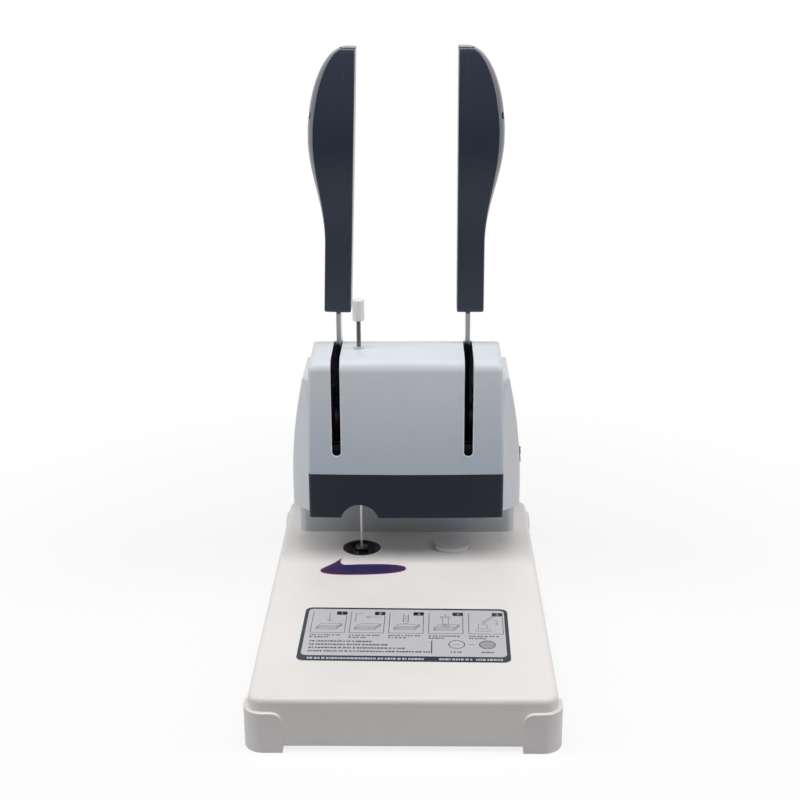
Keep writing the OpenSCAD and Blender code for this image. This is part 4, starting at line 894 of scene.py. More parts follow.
@dataclass
class CrossScrew:
    """Pan-head screw with a cross recess, its head's seat at the origin and its head along +Z."""

    head_r: float = 2.9
    head_h: float = 2.0
    shank_r: float = 1.5
    shank: float = 8.0
    recess: float = 1.9
    recess_w: float = 0.85
    recess_depth: float = 1.3
    recess_over: float = 0.5
    recess_taper: Point2 = (0.45, 0.7)
    recess_bars: tuple[Point2, ...] = ((0.0, 0.0), (90.0, 0.02))
    tip_r: float = 0.4
    tip_bevel: Point2 = (0.3, 0.5)
    rim: float = 0.15
    dome: tuple[Point2, ...] = ((1.0, 0.45), (0.94, 0.68), (0.8, 0.86), (0.55, 0.96), (0.2, 1.0))
    sides: int = 40

    def shape(self) -> Shape:
        """Turns the screw and cuts the two bars of its recess.

        Returns:
            The finished screw's shape.
        """
        r, h, rim, shank_r, end = self.head_r, self.head_h, self.rim, self.shank_r, -self.shank
        inset, rise = self.tip_bevel
        profile = [(self.tip_r, end), (shank_r - inset, end), (shank_r, end + rise), (shank_r, 0.0),
                   (r - rim, 0.0), (r, rim), *((r * u, h * v) for u, v in self.dome)]
        cutters = []
        for degrees, lift in self.recess_bars:
            bottom = (self.recess * self.recess_taper[0], self.recess_w / 2 * self.recess_taper[1],
                      h - self.recess_depth + lift)
            top = (self.recess, self.recess_w / 2, h + self.recess_over + lift)
            rings = [[(*p, z) for p in rectangle(-a, -b, a, b)] for a, b, z in (bottom, top)]
            cutters.append(Shape().loft(rings, place=turned(degrees, "Z")))
        piece = carved(Shape().lathe(profile, self.sides), cutters, "screw_pattern", SCREW)
        made = Shape().add([tuple(v.co / MM) for v in piece.data.vertices],
                           [tuple(p.vertices) for p in piece.data.polygons])
        bpy.data.objects.remove(piece)
        return made


@dataclass
class Screws(SubAssembly):
    """Group of equal screws, in place of a node of the solids if it has one."""

    name: str
    body: str
    places: list[Matrix]
    node: str | None = None
    screw: CrossScrew = field(default_factory=CrossScrew)
    first_turn: float = 20.0
    next_turn: float = 37.0

    def build(self) -> list[bpy.types.Object]:
        """Sets a screw at each place.

        Returns:
            The piece.
        """
        pattern = self.screw.shape()
        group = Shape()
        for i, place in enumerate(self.places):
            turn = turned(self.next_turn * i + self.first_turn, "Z")
            group.add(pattern.points, pattern.faces, place @ turn)
        return [settle(group.object(self.name, SCREW, 30), self.body, self.node)]


@dataclass
class Grip(SubAssembly):
    """Grip of a lever in two shells, with flat front and inner faces and a crowned outer face."""

    side: Side
    name: str
    arm_x: float
    reach: float
    lean: float
    axle_y: float = 102.0
    base_z: float = 266.0
    length: float = 228.0
    neck_w: float = 24.4
    belly_w: float = 40.3
    belly_h: float = 154.0
    neck_h: float = 60.0
    tip_w: float = 8.6
    neck_d: float = 28.0
    belly_d: float = 36.0
    tip_share: float = 0.62
    neck_crown: float = 0.8
    belly_crown: float = 5.0
    split_x: float = -2.0
    inner_r: float = 1.5
    edge_r: float = 1.2
    seam: float = 0.03
    gap: float = 0.005
    end_r: float = 1.5
    end_angles: tuple[float, ...] = (0.0, 0.4, 0.8, 1.2, math.pi / 2)
    ring_step: float = 4.0
    body_rings: int = 37
    dome_steps: int = 26
    tip_drops: tuple[Point2, ...] = ((0.9, 0.0), (0.35, 0.15), (0.1, 0.4), (0.0, 0.9))
    least_w: float = 1.8
    pocket: Box2 = (-4.0, -7.1, 2.1, 7.1)
    pocket_z: Point2 = (-1.0, 185.1)
    screw_z: tuple[float, float, float] = (26.0, 94.0, 171.0)
    seat_x: float = 6.0
    seat_r: float = 3.1
    bore_r: float = 1.7
    outside_x: float = 60.0
    mouth_x: Point2 = (1.9, 2.0)
    mouth_turn: float = 27.0
    mouth_r: float = 3.05

    def place(self) -> Matrix:
        """Transform from the grip's own axes to the row frame."""
        mirror = Matrix.Diagonal((self.side.value, 1.0, 1.0, 1.0))
        return mirror @ moved(self.arm_x, self.axle_y, self.base_z) @ turned(-self.lean, "Y")

    def swell(self, z: float) -> float:
        """How far the grip has grown from its neck, or shrunk towards its tip.

        Args:
            z: Height above the lower end.

        Returns:
            0 at the neck and the tip, 1 at the belly.
        """
        if z < self.belly_h:
            return smooth_share((z - self.neck_h) / (self.belly_h - self.neck_h))
        return math.sqrt(max(0.0, 1 - ((z - self.belly_h) / (self.length - self.belly_h)) ** 2))

    def section(self, z: float, inset: float) -> tuple[list[Point3], list[Point3]]:
        """Sections of both shells at one height.

        Args:
            z: Height above the lower end.
            inset: How far the section is drawn in, for the rounded ends.

        Returns:
            The inner and the outer shell's ring, counter-clockwise.
        """
        share = self.swell(z)
        low = z < self.belly_h
        width = (self.neck_w if low else self.tip_w) * (1 - share) + self.belly_w * share
        depth = (self.neck_d * (1 - share) + self.belly_d * share if low
                 else self.belly_d * (self.tip_share + (1 - self.tip_share) * share))
        crown = self.neck_crown + (self.belly_crown - self.neck_crown) * share
        half = depth / 2 - inset
        left = -self.reach + inset
        edge = width - self.reach - crown - inset
        r, e, c, gap = self.inner_r, self.edge_r, self.seam, self.gap
        seam_x = min(self.split_x, width - self.reach - inset)
        inner = [*arc((left + r, half - r), r, 90, 180, 5), *arc((left + r, r - half), r, 180, 270, 5),
                 (seam_x - c, -half), (seam_x - gap, c - half), (seam_x - gap, half - c), (seam_x - c, half)]
        flat = half - e
        bow = (flat * flat + crown * crown) / (2 * crown)
        sweep = math.degrees(math.asin(flat / bow))
        outer = [(self.split_x + c, -half), *arc((edge - e, e - half), e, 270, 360 - sweep, 4),
                 *arc((edge + crown - bow, 0.0), bow, -sweep, sweep, 18)[1:-1],
                 *arc((edge - e, half - e), e, sweep, 90, 4),
                 (self.split_x + c, half), (self.split_x + gap, half - c), (self.split_x + gap, c - half)]
        return [(*p, z) for p in inner], [(*p, z) for p in outer]

    def mouth(self, depth: float) -> list[Point3]:
        """Section of a screw's recess, which opens towards the front.

        Args:
            depth: Place along the screw's axis.

        Returns:
            The section's ring.
        """
        lean = -math.tan(math.radians(self.mouth_turn)) * (depth - self.seat_x - self.mouth_x[0])
        ring = arc((0.0, 0.0), self.mouth_r, 0, 180, 12) + arc((0.0, lean), self.mouth_r, 180, 360, 12)
        return [(u, v, depth) for u, v in ring]

    def levels(self) -> list[tuple[float, float]]:
        """Heights and insets of the rings, closer together at the ends.

        Returns:
            Height and inset of each ring, from the lower end up.
        """
        r, rise, steps = self.end_r, self.length - self.belly_h, self.dome_steps
        low = [(r - r * math.cos(a), r - r * math.sin(a)) for a in self.end_angles]
        body = [(self.ring_step * i, 0.0) for i in range(1, self.body_rings + 1)]
        dome = [(self.belly_h + rise * math.sin(math.pi / 2 * i / steps), 0.0) for i in range(1, steps - 1)]
        return low + body + dome + [(self.length - drop, inset) for drop, inset in self.tip_drops]

    def build(self) -> list[bpy.types.Object]:
        """Lofts both shells, cuts the strip's pocket and the screws' recesses.

        Returns:
            The two shells and the screws.
        """
        place, least = self.place(), self.split_x + self.seam + self.least_w
        rings = [self.section(z, inset) for z, inset in self.levels()]
        wide = [outer for _, outer in rings if max(p[0] for p in outer) > least]
        inner = Shape().loft([inner for inner, _ in rings], place=place)
        outer = Shape().loft(wide, place=place)
        pocket = Shape().prism(rectangle(*self.pocket), *self.pocket_z, place)
        bore = [(self.bore_r, 0.0), (self.bore_r, self.seat_x), (self.seat_r, self.seat_x),
                (self.seat_r, self.outside_x)]
        ends = (self.seat_x + self.mouth_x[1], self.outside_x)
        bores, mouths = Shape(), Shape()
        for z in self.screw_z:
            across = place @ moved(0, 0, z) @ turned(90, "Y")
            bores.lathe(bore, 32, across)
            mouths.loft([self.mouth(depth) for depth in ends], place=across)
        body, name = f"{self.name}_lever", f"{self.name}_grip"
        shells = [inner.object(f"{name}_inner_shell", GRIP, 40, even=True),
                  carved(outer, [pocket, bores, mouths], f"{name}_outer_shell", GRIP, 40, even=True)]
        for piece, half in zip(shells, ("inner", "outer")):
            settle(piece, body, f"{name}_{half}")
        places = [place @ moved(self.seat_x, 0, z) @ turned(90, "Y") for z in self.screw_z]
        screws = Screws(f"{name}_cross_screws", body, places, f"{name}_screws", CrossScrew(shank=14.0))
        return shells + screws.build()


@dataclass(frozen=True)
class HeadSkin:
    """Surface of the head's front: bowed face, roll, crowned top and rear roll, eased into one another."""

    apex_y: float = 42.0
    apex_z: float = 237.0
    low_z: float = 130.0
    split_y: float = 125.0
    half_w: float = 86.5
    draft: float = 2.0
    draft_z: float = 129.8
    bow: float = 2.0
    crown: float = 3.0
    side_r: float = 3.0
    top_r: float = 6.5
    front_roll: float = 13.0
    rear_roll: float = 97.0
    back_y: float = 180.0
    ease: float = 15.0
    rear_ease: float = 0.35
    merge: int = 8

    def inner(self, wall: float) -> "HeadSkin":
        """Makes the skin on the inner side of a wall, open below and behind.

        Args:
            wall: Thickness of the wall.

        Returns:
            The inner skin.
        """
        return replace(self, apex_y=self.apex_y + wall, apex_z=self.apex_z - wall, low_z=self.low_z - 1,
                       split_y=self.split_y + 1, half_w=self.half_w - wall, side_r=self.side_r - wall,
                       top_r=self.top_r - wall, front_roll=self.front_roll - wall,
                       rear_roll=self.rear_roll - wall, back_y=self.back_y - wall)

    def half(self, z: float) -> float:
        """Half width at a height."""
        share = (z - self.draft_z) / (self.apex_z - self.crown - self.top_r - self.draft_z)
        return self.half_w - self.draft * max(0.0, min(1.0, share))

    @staticmethod
    def sag(x: float, half: float, rise: float, radius: float) -> float:
        """How far a bulged strip with round corners lies below its middle.

        Args:
            x: Distance from the middle.
            half: Half width between the corners.
            rise: Bulge of the strip.
            radius: Radius of the corners.

        Returns:
            The depth.
        """
        bend = (half * half + rise * rise) / (2 * rise)
        inside, beyond = min(abs(x), half), min(radius, max(0.0, abs(x) - half))
        strip = bend - math.sqrt(bend * bend - inside * inside)
        return strip + radius - math.sqrt(radius * radius - beyond * beyond)

    def front_sag(self, x: float, z: float) -> float:
        """Depth of the front face behind its foremost line."""
        wide = x * self.half_w / self.half(z)
        return self.sag(wide, self.half_w - self.side_r, self.bow, self.side_r)

    def top_sag(self, x: float) -> float:
        """Depth of the top below its highest line."""
        return self.sag(x, self.half_w - self.draft - self.top_r, self.crown, self.top_r)

    def front_y(self, x: float, z: float) -> float:
        """Y of the front face below the roll."""
        return self.apex_y + self.front_sag(x, z)

    def roll(self, x: float, degrees: float) -> Point2:
        """Y and Z on the roll between front face and top.

        Args:
            x: Place across the head.
            degrees: 0 at the front face and 90 at the top.

        Returns:
            The point.
        """
        share = smooth_share(degrees / 90)
        turn_z = self.apex_z - self.front_roll
        depth = self.front_sag(x, turn_z) * (1 - share) + self.top_sag(x) * share
        reach, angle = self.front_roll - depth, math.radians(degrees)
        return self.apex_y + self.front_roll - reach * math.cos(angle), turn_z + reach * math.sin(angle)

    def top_z(self, x: float, y: float) -> float:
        """Z of the top and of the rear roll.

        Args:
            x: Place across the head.
            y: Place along it.

        Returns:
            The height.
        """
        behind = max(0.0, y - self.back_y + self.rear_roll)
        drop = self.rear_roll - math.sqrt(self.rear_roll ** 2 - behind ** 2)
        share = smooth_share((y - self.split_y + self.ease) / self.ease)
        side = self.top_sag(x) * (1 - self.rear_ease * share)
        return self.apex_z - (drop ** self.merge + side ** self.merge) ** (1 / self.merge)

    def profile(self, wide: float) -> list[Point3]:
        """Closed side view at one share of the width.

        Args:
            wide: X where the head is widest.

        Returns:
            The ring's points.
        """
        turn_z, first = self.apex_z - self.front_roll, self.apex_y + self.front_roll
        ring = []
        for i in range(12):
            z = self.low_z + (turn_z - self.low_z) * i / 12
            x = wide * self.half(z) / self.half_w
            ring.append((x, self.front_y(x, z), z))
        x = wide * (self.half_w - self.draft) / self.half_w
        ring += [(x, *self.roll(x, degrees)) for degrees in ROLL_STEPS]
        for i in range(1, 19):
            y = first + (self.split_y - first) * i / 18
            ring.append((x, y, self.top_z(x, y)))
        return [*ring, (wide * self.half(self.low_z) / self.half_w, self.split_y, self.low_z)]

    def solid(self) -> Shape:
        """Body under the skin, as one loft across the head.

        Returns:
            The shape.
        """
        near = self.half_w - self.draft - self.top_r
        flat = [near * i / 20 for i in range(20)]
        corner = [near + (self.half_w - near) * math.sin(math.pi / 2 * i / 16) for i in range(17)]
        right = flat + corner
        return Shape().loft([self.profile(x) for x in [-x for x in reversed(right[1:])] + right])


@dataclass(frozen=True)
class Slot:
    """Slot for a lever, from the front face over the roll to the top."""

    x: float
    width: float = 8.7
    bottom_z: float = 146.8
    end_y: float = 115.0
    front_y: float = 30.0
    inner_y: float = 72.0
    floor_z: float = 197.0
    over_z: float = 245.0

    def cutter(self) -> Shape:
        """Body of the slot, round at both ends.

        Returns:
            The shape.
        """
        r, rings = self.width / 2, []
        for u, bulge in arc((0.0, 0.0), r, 180, 0, 24):
            low, rear = self.bottom_z + r - bulge, self.end_y - r + bulge
            side = ((self.front_y, low), (self.inner_y, low), (self.inner_y, self.floor_z),
                    (rear, self.floor_z), (rear, self.over_z), (self.front_y, self.over_z))
            rings.append([(self.x + u, *p) for p in side])
        return Shape().loft(rings)


RIVET_SLOT = Slot(-61.0)
DRILL_SLOT = Slot(55.0)


@dataclass
class FrontCover(SubAssembly):
    """Front cover of the head with its slots, the rod's hole and the reliefs for the cross axle."""

    skin: HeadSkin = field(default_factory=HeadSkin)
    wall: float = 2.5
    rod: Point2 = (-41.5, 77.0)
    rod_hole_r: float = 3.3
    rod_hole_z: Point2 = (228.0, 245.0)
    axle: Point2 = (102.0, 158.0)
    relief_r: float = 10.0
    relief_z: float = 120.0
    relief_half: float = 95.0

    def build(self) -> list[bpy.types.Object]:
        """Lofts the skin and cuts it.

        Returns:
            The cover.
        """
        y, z = self.axle
        relief = [(y - self.relief_r, self.relief_z), (y + self.relief_r, self.relief_z),
                  *arc((y, z), self.relief_r, 0, 180, 24)]
        hole = [(self.rod_hole_r, z) for z in self.rod_hole_z]
        cutters = [self.skin.inner(self.wall).solid(), RIVET_SLOT.cutter(), DRILL_SLOT.cutter(),
                   Shape().lathe(hole, 40, moved(*self.rod, 0.0)),
                   Shape().prism(relief, -self.relief_half, self.relief_half, ALONG_X)]
        piece = carved(self.skin.solid(), cutters, "front_cover_skin", COVER, 32, even=True)
        return [settle(piece, "machine", "front_cover")]


@dataclass
class SlotLip(SubAssembly):
    """Thin rolled lip round a lever slot in the front cover."""

    name: str
    slot: Slot
    lip_r: float = 0.5
    sink: float = 0.22
    skin: HeadSkin = field(default_factory=HeadSkin)

    def edge(self, x: float) -> list[Point3]:
        """Long edge of the slot at one X, from its lower end over the roll to its rear end.

        Args:
            x: Place of the edge.

        Returns:
            Points along the edge.
        """
        r, skin, sink = self.slot.width / 2, self.skin, self.sink
        start, turn_z = self.slot.bottom_z + r, skin.apex_z - skin.front_roll
        path = []
        for i in range(1, 15):
            z = start + (turn_z - start) * i / 15
            path.append((x, skin.front_y(x, z) + sink, z))
        for degrees in ROLL_STEPS:
            y, z = skin.roll(x, degrees)
            angle = math.radians(degrees)
            path.append((x, y + sink * math.cos(angle), z - sink * math.sin(angle)))
        first, rear = skin.apex_y + skin.front_roll, self.slot.end_y - r
        for i in range(1, 15):
            y = first + (rear - first) * i / 14
            path.append((x, y, skin.top_z(x, y) - sink))
        return path

    def build(self) -> list[bpy.types.Object]:
        """Runs the bead round the slot.

        Returns:
            The lip.
        """
        r, skin, mid = self.slot.width / 2, self.skin, self.slot.x
        low_arc = arc((mid, self.slot.bottom_z + r), r, 180, 360, 20)
        end_arc = arc((mid, self.slot.end_y - r), r, 0, 180, 20)
        low = [(x, skin.front_y(x, z) + self.sink, z) for x, z in low_arc]
        end = [(x, y, skin.top_z(x, y) - self.sink) for x, y in end_arc]
        loop = low + self.edge(mid + r) + end[1:-1] + self.edge(mid - r)[::-1]
        return [settle(Shape().tube(loop, self.lip_r).object(self.name, LIP, 60), "machine")]


@dataclass
class ReturnSpring(SubAssembly):
    """Return spring of a ram, which the ram presses together as it goes down; the wire is wound at rest and
    does not shorten.
    """

    name: str
    travel: float = 49.0
    mean_r: float = 2.6
    wire_r: float = 0.4
    turns: int = 14
    closed_turns: float = 1.0
    closed_share: float = 0.03
    slack: float = 0.4
    steps: int = 28
    sides: int = 8

    def height(self, share: float) -> float:
        """Share of the height at a share of the turns, with closed turns at both ends.

        Args:
            share: 0 at the lower end and 1 at the upper end.

        Returns:
            0 to 1.
        """
        lead, low = self.closed_turns / self.turns, self.closed_share
        if share < lead:
            return low * share / lead
        if share > 1 - lead:
            return 1 - low * (1 - share) / lead
        return low + (1 - 2 * low) * (share - lead) / (1 - 2 * lead)

    def build(self) -> list[bpy.types.Object]:
        """Winds the wire where the spring's solid is, and sets it on the machine's body.

        Returns:
            The spring.
        """
        node = f"{self.name}_return_spring"
        low, high = (Vector(corner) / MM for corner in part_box(node))
        middle, r, length = (low + high) / 2, self.wire_r, high.z - low.z
        rings, count = [], self.turns * self.steps
        for i in range(count + 1):
            turn = 2 * math.pi * i / self.steps
            c, s = math.cos(turn), math.sin(turn)
            z = low.z + r + (length - 2 * r) * self.height(i / count)
            wire = [(self.mean_r + r * math.cos(a), z - r * math.sin(a)) for a in turns(self.sides)]
            rings.append([(middle.x + out * c, middle.y + out * s, up) for out, up in wire])
        piece = settle(Shape().loft(rings).object(f"{node}_wire", WIRE, 50), "machine", node)
        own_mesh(piece)
        return [piece]


@dataclass
class PrintedSheet(SubAssembly):
    """Printed sheet on the base: five panels with plain drawings and numbers, and bars for lines."""

    centre: Point2 = (0.5, -88.0)
    turn: float = -1.0
    top_z: float = 44.0
    film: Box2 = (-84.5, -48.5, 84.5, 42.0)
    window: Box2 = (-81.6, -40.0, 81.6, 39.4)
    corner_r: float = 6.0
    window_r: float = 4.5
    panel_w: float = 28.0
    panel_v: Point2 = (-2.0, 35.0)
    panel_u: tuple[float, ...] = (-63.4, -31.6, 0.6, 33.2, 66.0)
    caption: tuple[Point2, ...] = ((0.92, 4.2), (0.55, 7.8))
    notes: tuple[Point2, ...] = ((-26.0, -16.6), (-12.0, -22.0), (2.0, -27.4), (22.0, -32.8))
    notes_u: float = -76.5
    disc: tuple[float, float, float] = (6.3, 6.6, -20.0)
    hatch: float = 1.3
    hatch_r: float = 6.0
    dash: float = 2.0
    bar_h: tuple[float, float, float] = (1.7, 2.2, 2.8)
    footer: tuple[Point2, ...] = ((-76.0, 18.0), (28.0, 54.0), (57.0, 78.0))
    footer_v: float = -44.3
    side_drops: Point2 = (1.0, 7.0)
    drawing_lift: float = 0.6
    tag: Point2 = (8.5, 6.0)
    tag_over: float = 0.3
    figure_at: Point2 = (5.2, 4.8)
    figure_scale: Point2 = (1.1, 1.15)
    disc_u: Point2 = (42.0, 66.5)
    disc_marks: Point2 = (5.0, -32.5)
    join: Point2 = (51.5, 56.5)
    divider: tuple[Point2, ...] = ((22.0, -14.0), (22.0, -35.0))
    bar_w: Point2 = (1.0, 2.6)
    bar_gaps: tuple[float, float, float] = (0.5, 0.6, 1.3)
    bar_least: float = 1.2
    line: float = 0.55
    drawing_share: float = 0.8
    disc_line: float = 0.7
    hatch_line: float = 0.5
    join_line: float = 0.6
    divider_line: float = 0.9
    ink: Point2 = (44.14, 44.17)
    ink_gap: float = 0.01
    ink_light: float = 0.02
    seed: int = 7

    def place(self) -> Matrix:
        """Transform from the sheet's plane to the row frame."""
        return moved(*self.centre, 0.0) @ turned(self.turn, "Z")

    def drawings(self) -> list[list[list[Point2]]]:
        """Lines of the five drawings, in a panel's own plane from its lower left corner.

        Returns:
            For each panel, its lines.
        """
        stack = [[(4, 5), (21, 5), (25, 11), (8, 11), (4, 5)], [(4, 5), (4, 9), (21, 9), (21, 5)],
                 [(21, 9), (25, 15), (25, 11)], [(4, 9), (8, 15), (25, 15)], [(4, 7), (21, 7), (25, 13)]]
        ring = [(14 + 3.2 * math.cos(a / 3), 12 + 1.5 * math.sin(a / 3)) for a in range(20)]
        bit = [[(11.5, 33), (11.5, 19), (12.6, 16), (14.4, 16), (15.5, 19), (15.5, 33)],
               [(11.5, 30), (15.5, 28)], [(11.5, 26), (15.5, 24)], [(11.5, 22), (15.5, 20)]]
        tube = [[(11, 27), (11, 16), (16, 16), (16, 27), (11, 27)],
                [(9.5, 27), (17.5, 27), (17.5, 29), (9.5, 29), (9.5, 27)],
                [(13.5, 34), (13.5, 29)], [(13.5, 16), (13.5, 12)]]
        sweep = [(19 + 4.5 * math.cos(a), 19 + 6 * math.sin(a)) for a in (1.1, 0.7, 0.3, -0.1, -0.5)]
        lever = [[(6, 4), (18, 4), (18, 8), (6, 8), (6, 4)], [(8, 8), (8, 16), (15, 16), (15, 8)],
                 [(11.5, 16), (11.5, 20), (20, 31)], [(13, 16), (13, 19.4), (21.5, 30)],
                 sweep, [(21.2, 17.6), (22.9, 15.9), (24.6, 17.9)]]
        squaring = [[(14, 33), (14, 20)], [(11.8, 22.5), (14, 19.5), (16.2, 22.5)]]
        pushing = [[(25, 27), (13, 27)], [(15.5, 24.8), (12.5, 27), (15.5, 29.2)],
                   [(4, 18), (4, 33), (10, 33)]]
        return [stack + squaring, stack + pushing, stack + bit, stack + [ring] + tube, lever]

    def bars(self, rng: random.Random, left: float, right: float, v: float,
             height: float) -> list[list[Point2]]:
        """Bars that stand for a printed line.

        Args:
            rng: Source of the bars' lengths.
            left: Left end of the line.
            right: Right end of the line.
            v: Its height on the sheet.
            height: Height of a bar.

        Returns:
            Outlines of the bars.
        """
        made, u = [], left
        while u < right - self.bar_least:
            width = min(rng.uniform(*self.bar_w), right - u)
            made.append(rectangle(u, v - height / 2, u + width, v + height / 2))
            u += width + rng.choice(self.bar_gaps)
        return made

    def numbers(self) -> list[list[Point2]]:
        """Lines of the figures 1 to 5, each 2 wide and 3 high from its lower left corner.

        Returns:
            For each figure, its line.
        """
        return [[(0.5, 2.4), (1.1, 3.0), (1.1, 0.0)],
                [(0.2, 2.4), (0.6, 3.0), (1.5, 3.0), (1.9, 2.4), (1.8, 1.8), (0.1, 0.0), (2.0, 0.0)],
                [(0.2, 3.0), (1.8, 3.0), (1.0, 1.8), (1.8, 1.3), (1.8, 0.5), (1.3, 0.0), (0.2, 0.1)],
                [(1.5, 0.0), (1.5, 3.0), (0.1, 0.9), (2.0, 0.9)],
                [(1.8, 3.0), (0.4, 3.0), (0.3, 1.7), (1.4, 1.8), (1.9, 1.2), (1.8, 0.4), (1.2, 0.0),
                 (0.2, 0.1)]]

    def draw(self, ink: Shape, paths: Iterable[Sequence[Point2]], width: float, closed: bool = False) -> None:
        """Adds lines of one width to an ink."""
        for path in paths:
            ink.stroke(path, width, *self.ink, closed, self.place())

    def fill(self, ink: Shape, outlines: Iterable[Sequence[Point2]]) -> None:
        """Adds filled outlines to an ink."""
        for outline in outlines:
            ink.prism(outline, *self.ink, self.place())

    def panels(self, rng: random.Random, lines: Shape, black: Shape, light: Shape) -> None:
        """Prints the five panels with their drawings, numbers and captions.

        Args:
            rng: Source of the bars' lengths.
            lines: Ink of the drawings.
            black: Ink of the tags.
            light: Ink of the numbers.
        """
        v0, v1 = self.panel_v
        top = self.ink[1]
        left_v, right_v = (v1 - drop for drop in self.side_drops)
        (tag_w, tag_h), (figure_u, figure_v), (wide, high) = self.tag, self.figure_at, self.figure_scale
        for mid, drawing, number in zip(self.panel_u, self.drawings(), self.numbers()):
            u0, u1 = mid - self.panel_w / 2, mid + self.panel_w / 2
            sides = ([(u0, left_v), (u0, v0)], [(u0, v0), (u1, v0)], [(u1, v0), (u1, right_v)])
            self.draw(lines, sides, self.line)
            shown = [[(u0 + u, v0 + self.drawing_lift + v) for u, v in path] for path in drawing]
            self.draw(lines, shown, self.line * self.drawing_share)
            self.fill(black, [rectangle(u1 - tag_w, v1 - tag_h, u1 + self.tag_over, v1)])
            figure = [(u1 - figure_u + wide * u, v1 - figure_v + high * v) for u, v in number]
            light.stroke(figure, self.line, top, top + self.ink_light, place=self.place())
            for share, drop in self.caption:
                self.fill(lines, self.bars(rng, u0, u0 + self.panel_w * share, v0 - drop, self.bar_h[0]))

    def discs(self, rng: random.Random, lines: Shape, black: Shape) -> None:
        """Prints an open and a hatched disc with a dash between them, and a bar of marks under each.

        Args:
            rng: Source of the bars' lengths.
            lines: Ink of the hatching.
            black: Ink of the rims.
        """
        wide, high, v = self.disc
        half, marks_v = self.disc_marks
        for mid, filled in zip(self.disc_u, (False, True)):
            oval = [(mid + wide * math.cos(a), v + high * math.sin(a)) for a in turns(36)]
            self.draw(black, [oval], self.disc_line, closed=True)
            for row in (self.hatch * k for k in (range(-4, 5) if filled else range(1))):
                reach = math.sqrt(self.hatch_r ** 2 - row ** 2) if filled else self.dash
                self.draw(lines, [[(mid - reach, v + row), (mid + reach, v + row)]], self.hatch_line)
            self.fill(lines, self.bars(rng, mid - half, mid + half, marks_v, self.bar_h[1]))
        self.draw(lines, [[(u, v) for u in self.join]], self.join_line)

    def build(self) -> list[bpy.types.Object]:
        """Lays the film and prints on it.

        Returns:
            Film, border, drawings, black marks and light marks.
        """
        rng = random.Random(self.seed)
        low, high = self.ink[0] - self.ink_gap, self.ink[1]
        outer = rounded_box(*self.film, self.corner_r)
        inner = rounded_box(*self.window, self.window_r)
        film = Shape().prism(outer, self.top_z + 0.005, low, self.place())
        border = Shape().loft([[(*a, low), (*a, high), (*b, high), (*b, low)] for a, b in zip(outer, inner)],
                              closed=True, place=self.place())
        lines, black, light = Shape(), Shape(), Shape()
        self.panels(rng, lines, black, light)
        for reach, v in self.notes:
            self.fill(lines, self.bars(rng, self.notes_u, reach, v, self.bar_h[1]))
        self.draw(black, [self.divider], self.divider_line)
        self.discs(rng, lines, black)
        for left, right in self.footer:
            for bar in self.bars(rng, left, right, self.footer_v, self.bar_h[2]):
                light.prism(bar, high, high + self.ink_light, self.place())
        made = [film.object("sheet_film", FILM), border.object("sheet_border", INK_NAVY),
                lines.object("sheet_drawings", INK_LINE), black.object("sheet_black_marks", INK_BLACK),
                light.object("sheet_light_marks", INK_LIGHT)]
        return [settle(piece, "machine") for piece in made]


@dataclass
class SpeechSticker(SubAssembly):
    """Bare speech-bubble sticker beside the riveting station."""

    centre: Point2 = (-38.3, 29.6)
    half_w: float = 38.2
    half_h: float = 10.8
    slope: float = 0.055
    square: float = 2.4
    top_z: float = 44.0
    tail: tuple[Point2, ...] = ((-52.0, 39.3), (-59.5, 37.9), (-60.8, 44.0), (-58.6, 55.0))
    nape: tuple[Point2, ...] = ((-58.6, 55.0), (-61.8, 46.0), (-68.0, 40.0), (-73.2, 33.9))
    rim: float = 1.3
    rim_z: Point2 = (0.005, 0.12)
    face_z: Point2 = (0.11, 0.16)

    @staticmethod
    def curve(points: Sequence[Point2], steps: int) -> list[Point2]:
        """Points of a cubic curve, both ends included.

        Args:
            points: Its four control points.
            steps: Number of steps.

        Returns:
            The points.
        """
        shares = [i / steps for i in range(steps + 1)]
        weights = [((1 - t) ** 3, 3 * t * (1 - t) ** 2, 3 * t * t * (1 - t), t ** 3) for t in shares]
        return [tuple(sum(w * p[axis] for w, p in zip(weight, points)) for axis in (0, 1))
                for weight in weights]

    def outline(self, grow: float) -> list[Point2]:
        """Outline of the bubble with its tail.

        Args:
            grow: How far the outline is pushed out.

        Returns:
            The outline's points, counter-clockwise from the right end.
        """
        body = []
        for a in turns(120):
            c, s = math.cos(a), math.sin(a)
            u = self.half_w * math.copysign(abs(c) ** (2 / self.square), c)
            v = self.half_h * math.copysign(abs(s) ** (2 / self.square), s)
            body.append((self.centre[0] + u, self.centre[1] + v + self.slope * u))
        first, (last, nape_v) = self.tail[0][0], self.nape[-1]
        right = [p for p in body[:60] if p[0] > first + 1]
        left = [p for p in body[40:] if p[1] < nape_v - 1 or p[0] > self.centre[0]]
        left = [p for p in left if p[0] < last or p[1] < self.centre[1]]
        path = right + self.curve(self.tail, 12) + self.curve(self.nape, 12)[1:] + left
        ring = []
        for i, p in enumerate(path):
            along = (Vector(path[(i + 1) % len(path)]) - Vector(path[i - 1])).normalized()
            ring.append((p[0] + grow * along.y, p[1] - grow * along.x))
        return ring

    def build(self) -> list[bpy.types.Object]:
        """Lays the pale rim and the dark face.

        Returns:
            Both films.
        """
        films = (("sticker_rim_film", STICKER_RIM, self.rim, self.rim_z),
                 ("sticker_face_film", STICKER_FACE, 0.0, self.face_z))
        made = []
        for name, finish, grow, (low, high) in films:
            film = Shape().prism(self.outline(grow), self.top_z + low, self.top_z + high)
            made.append(settle(film.object(name, finish), "machine"))
        return made


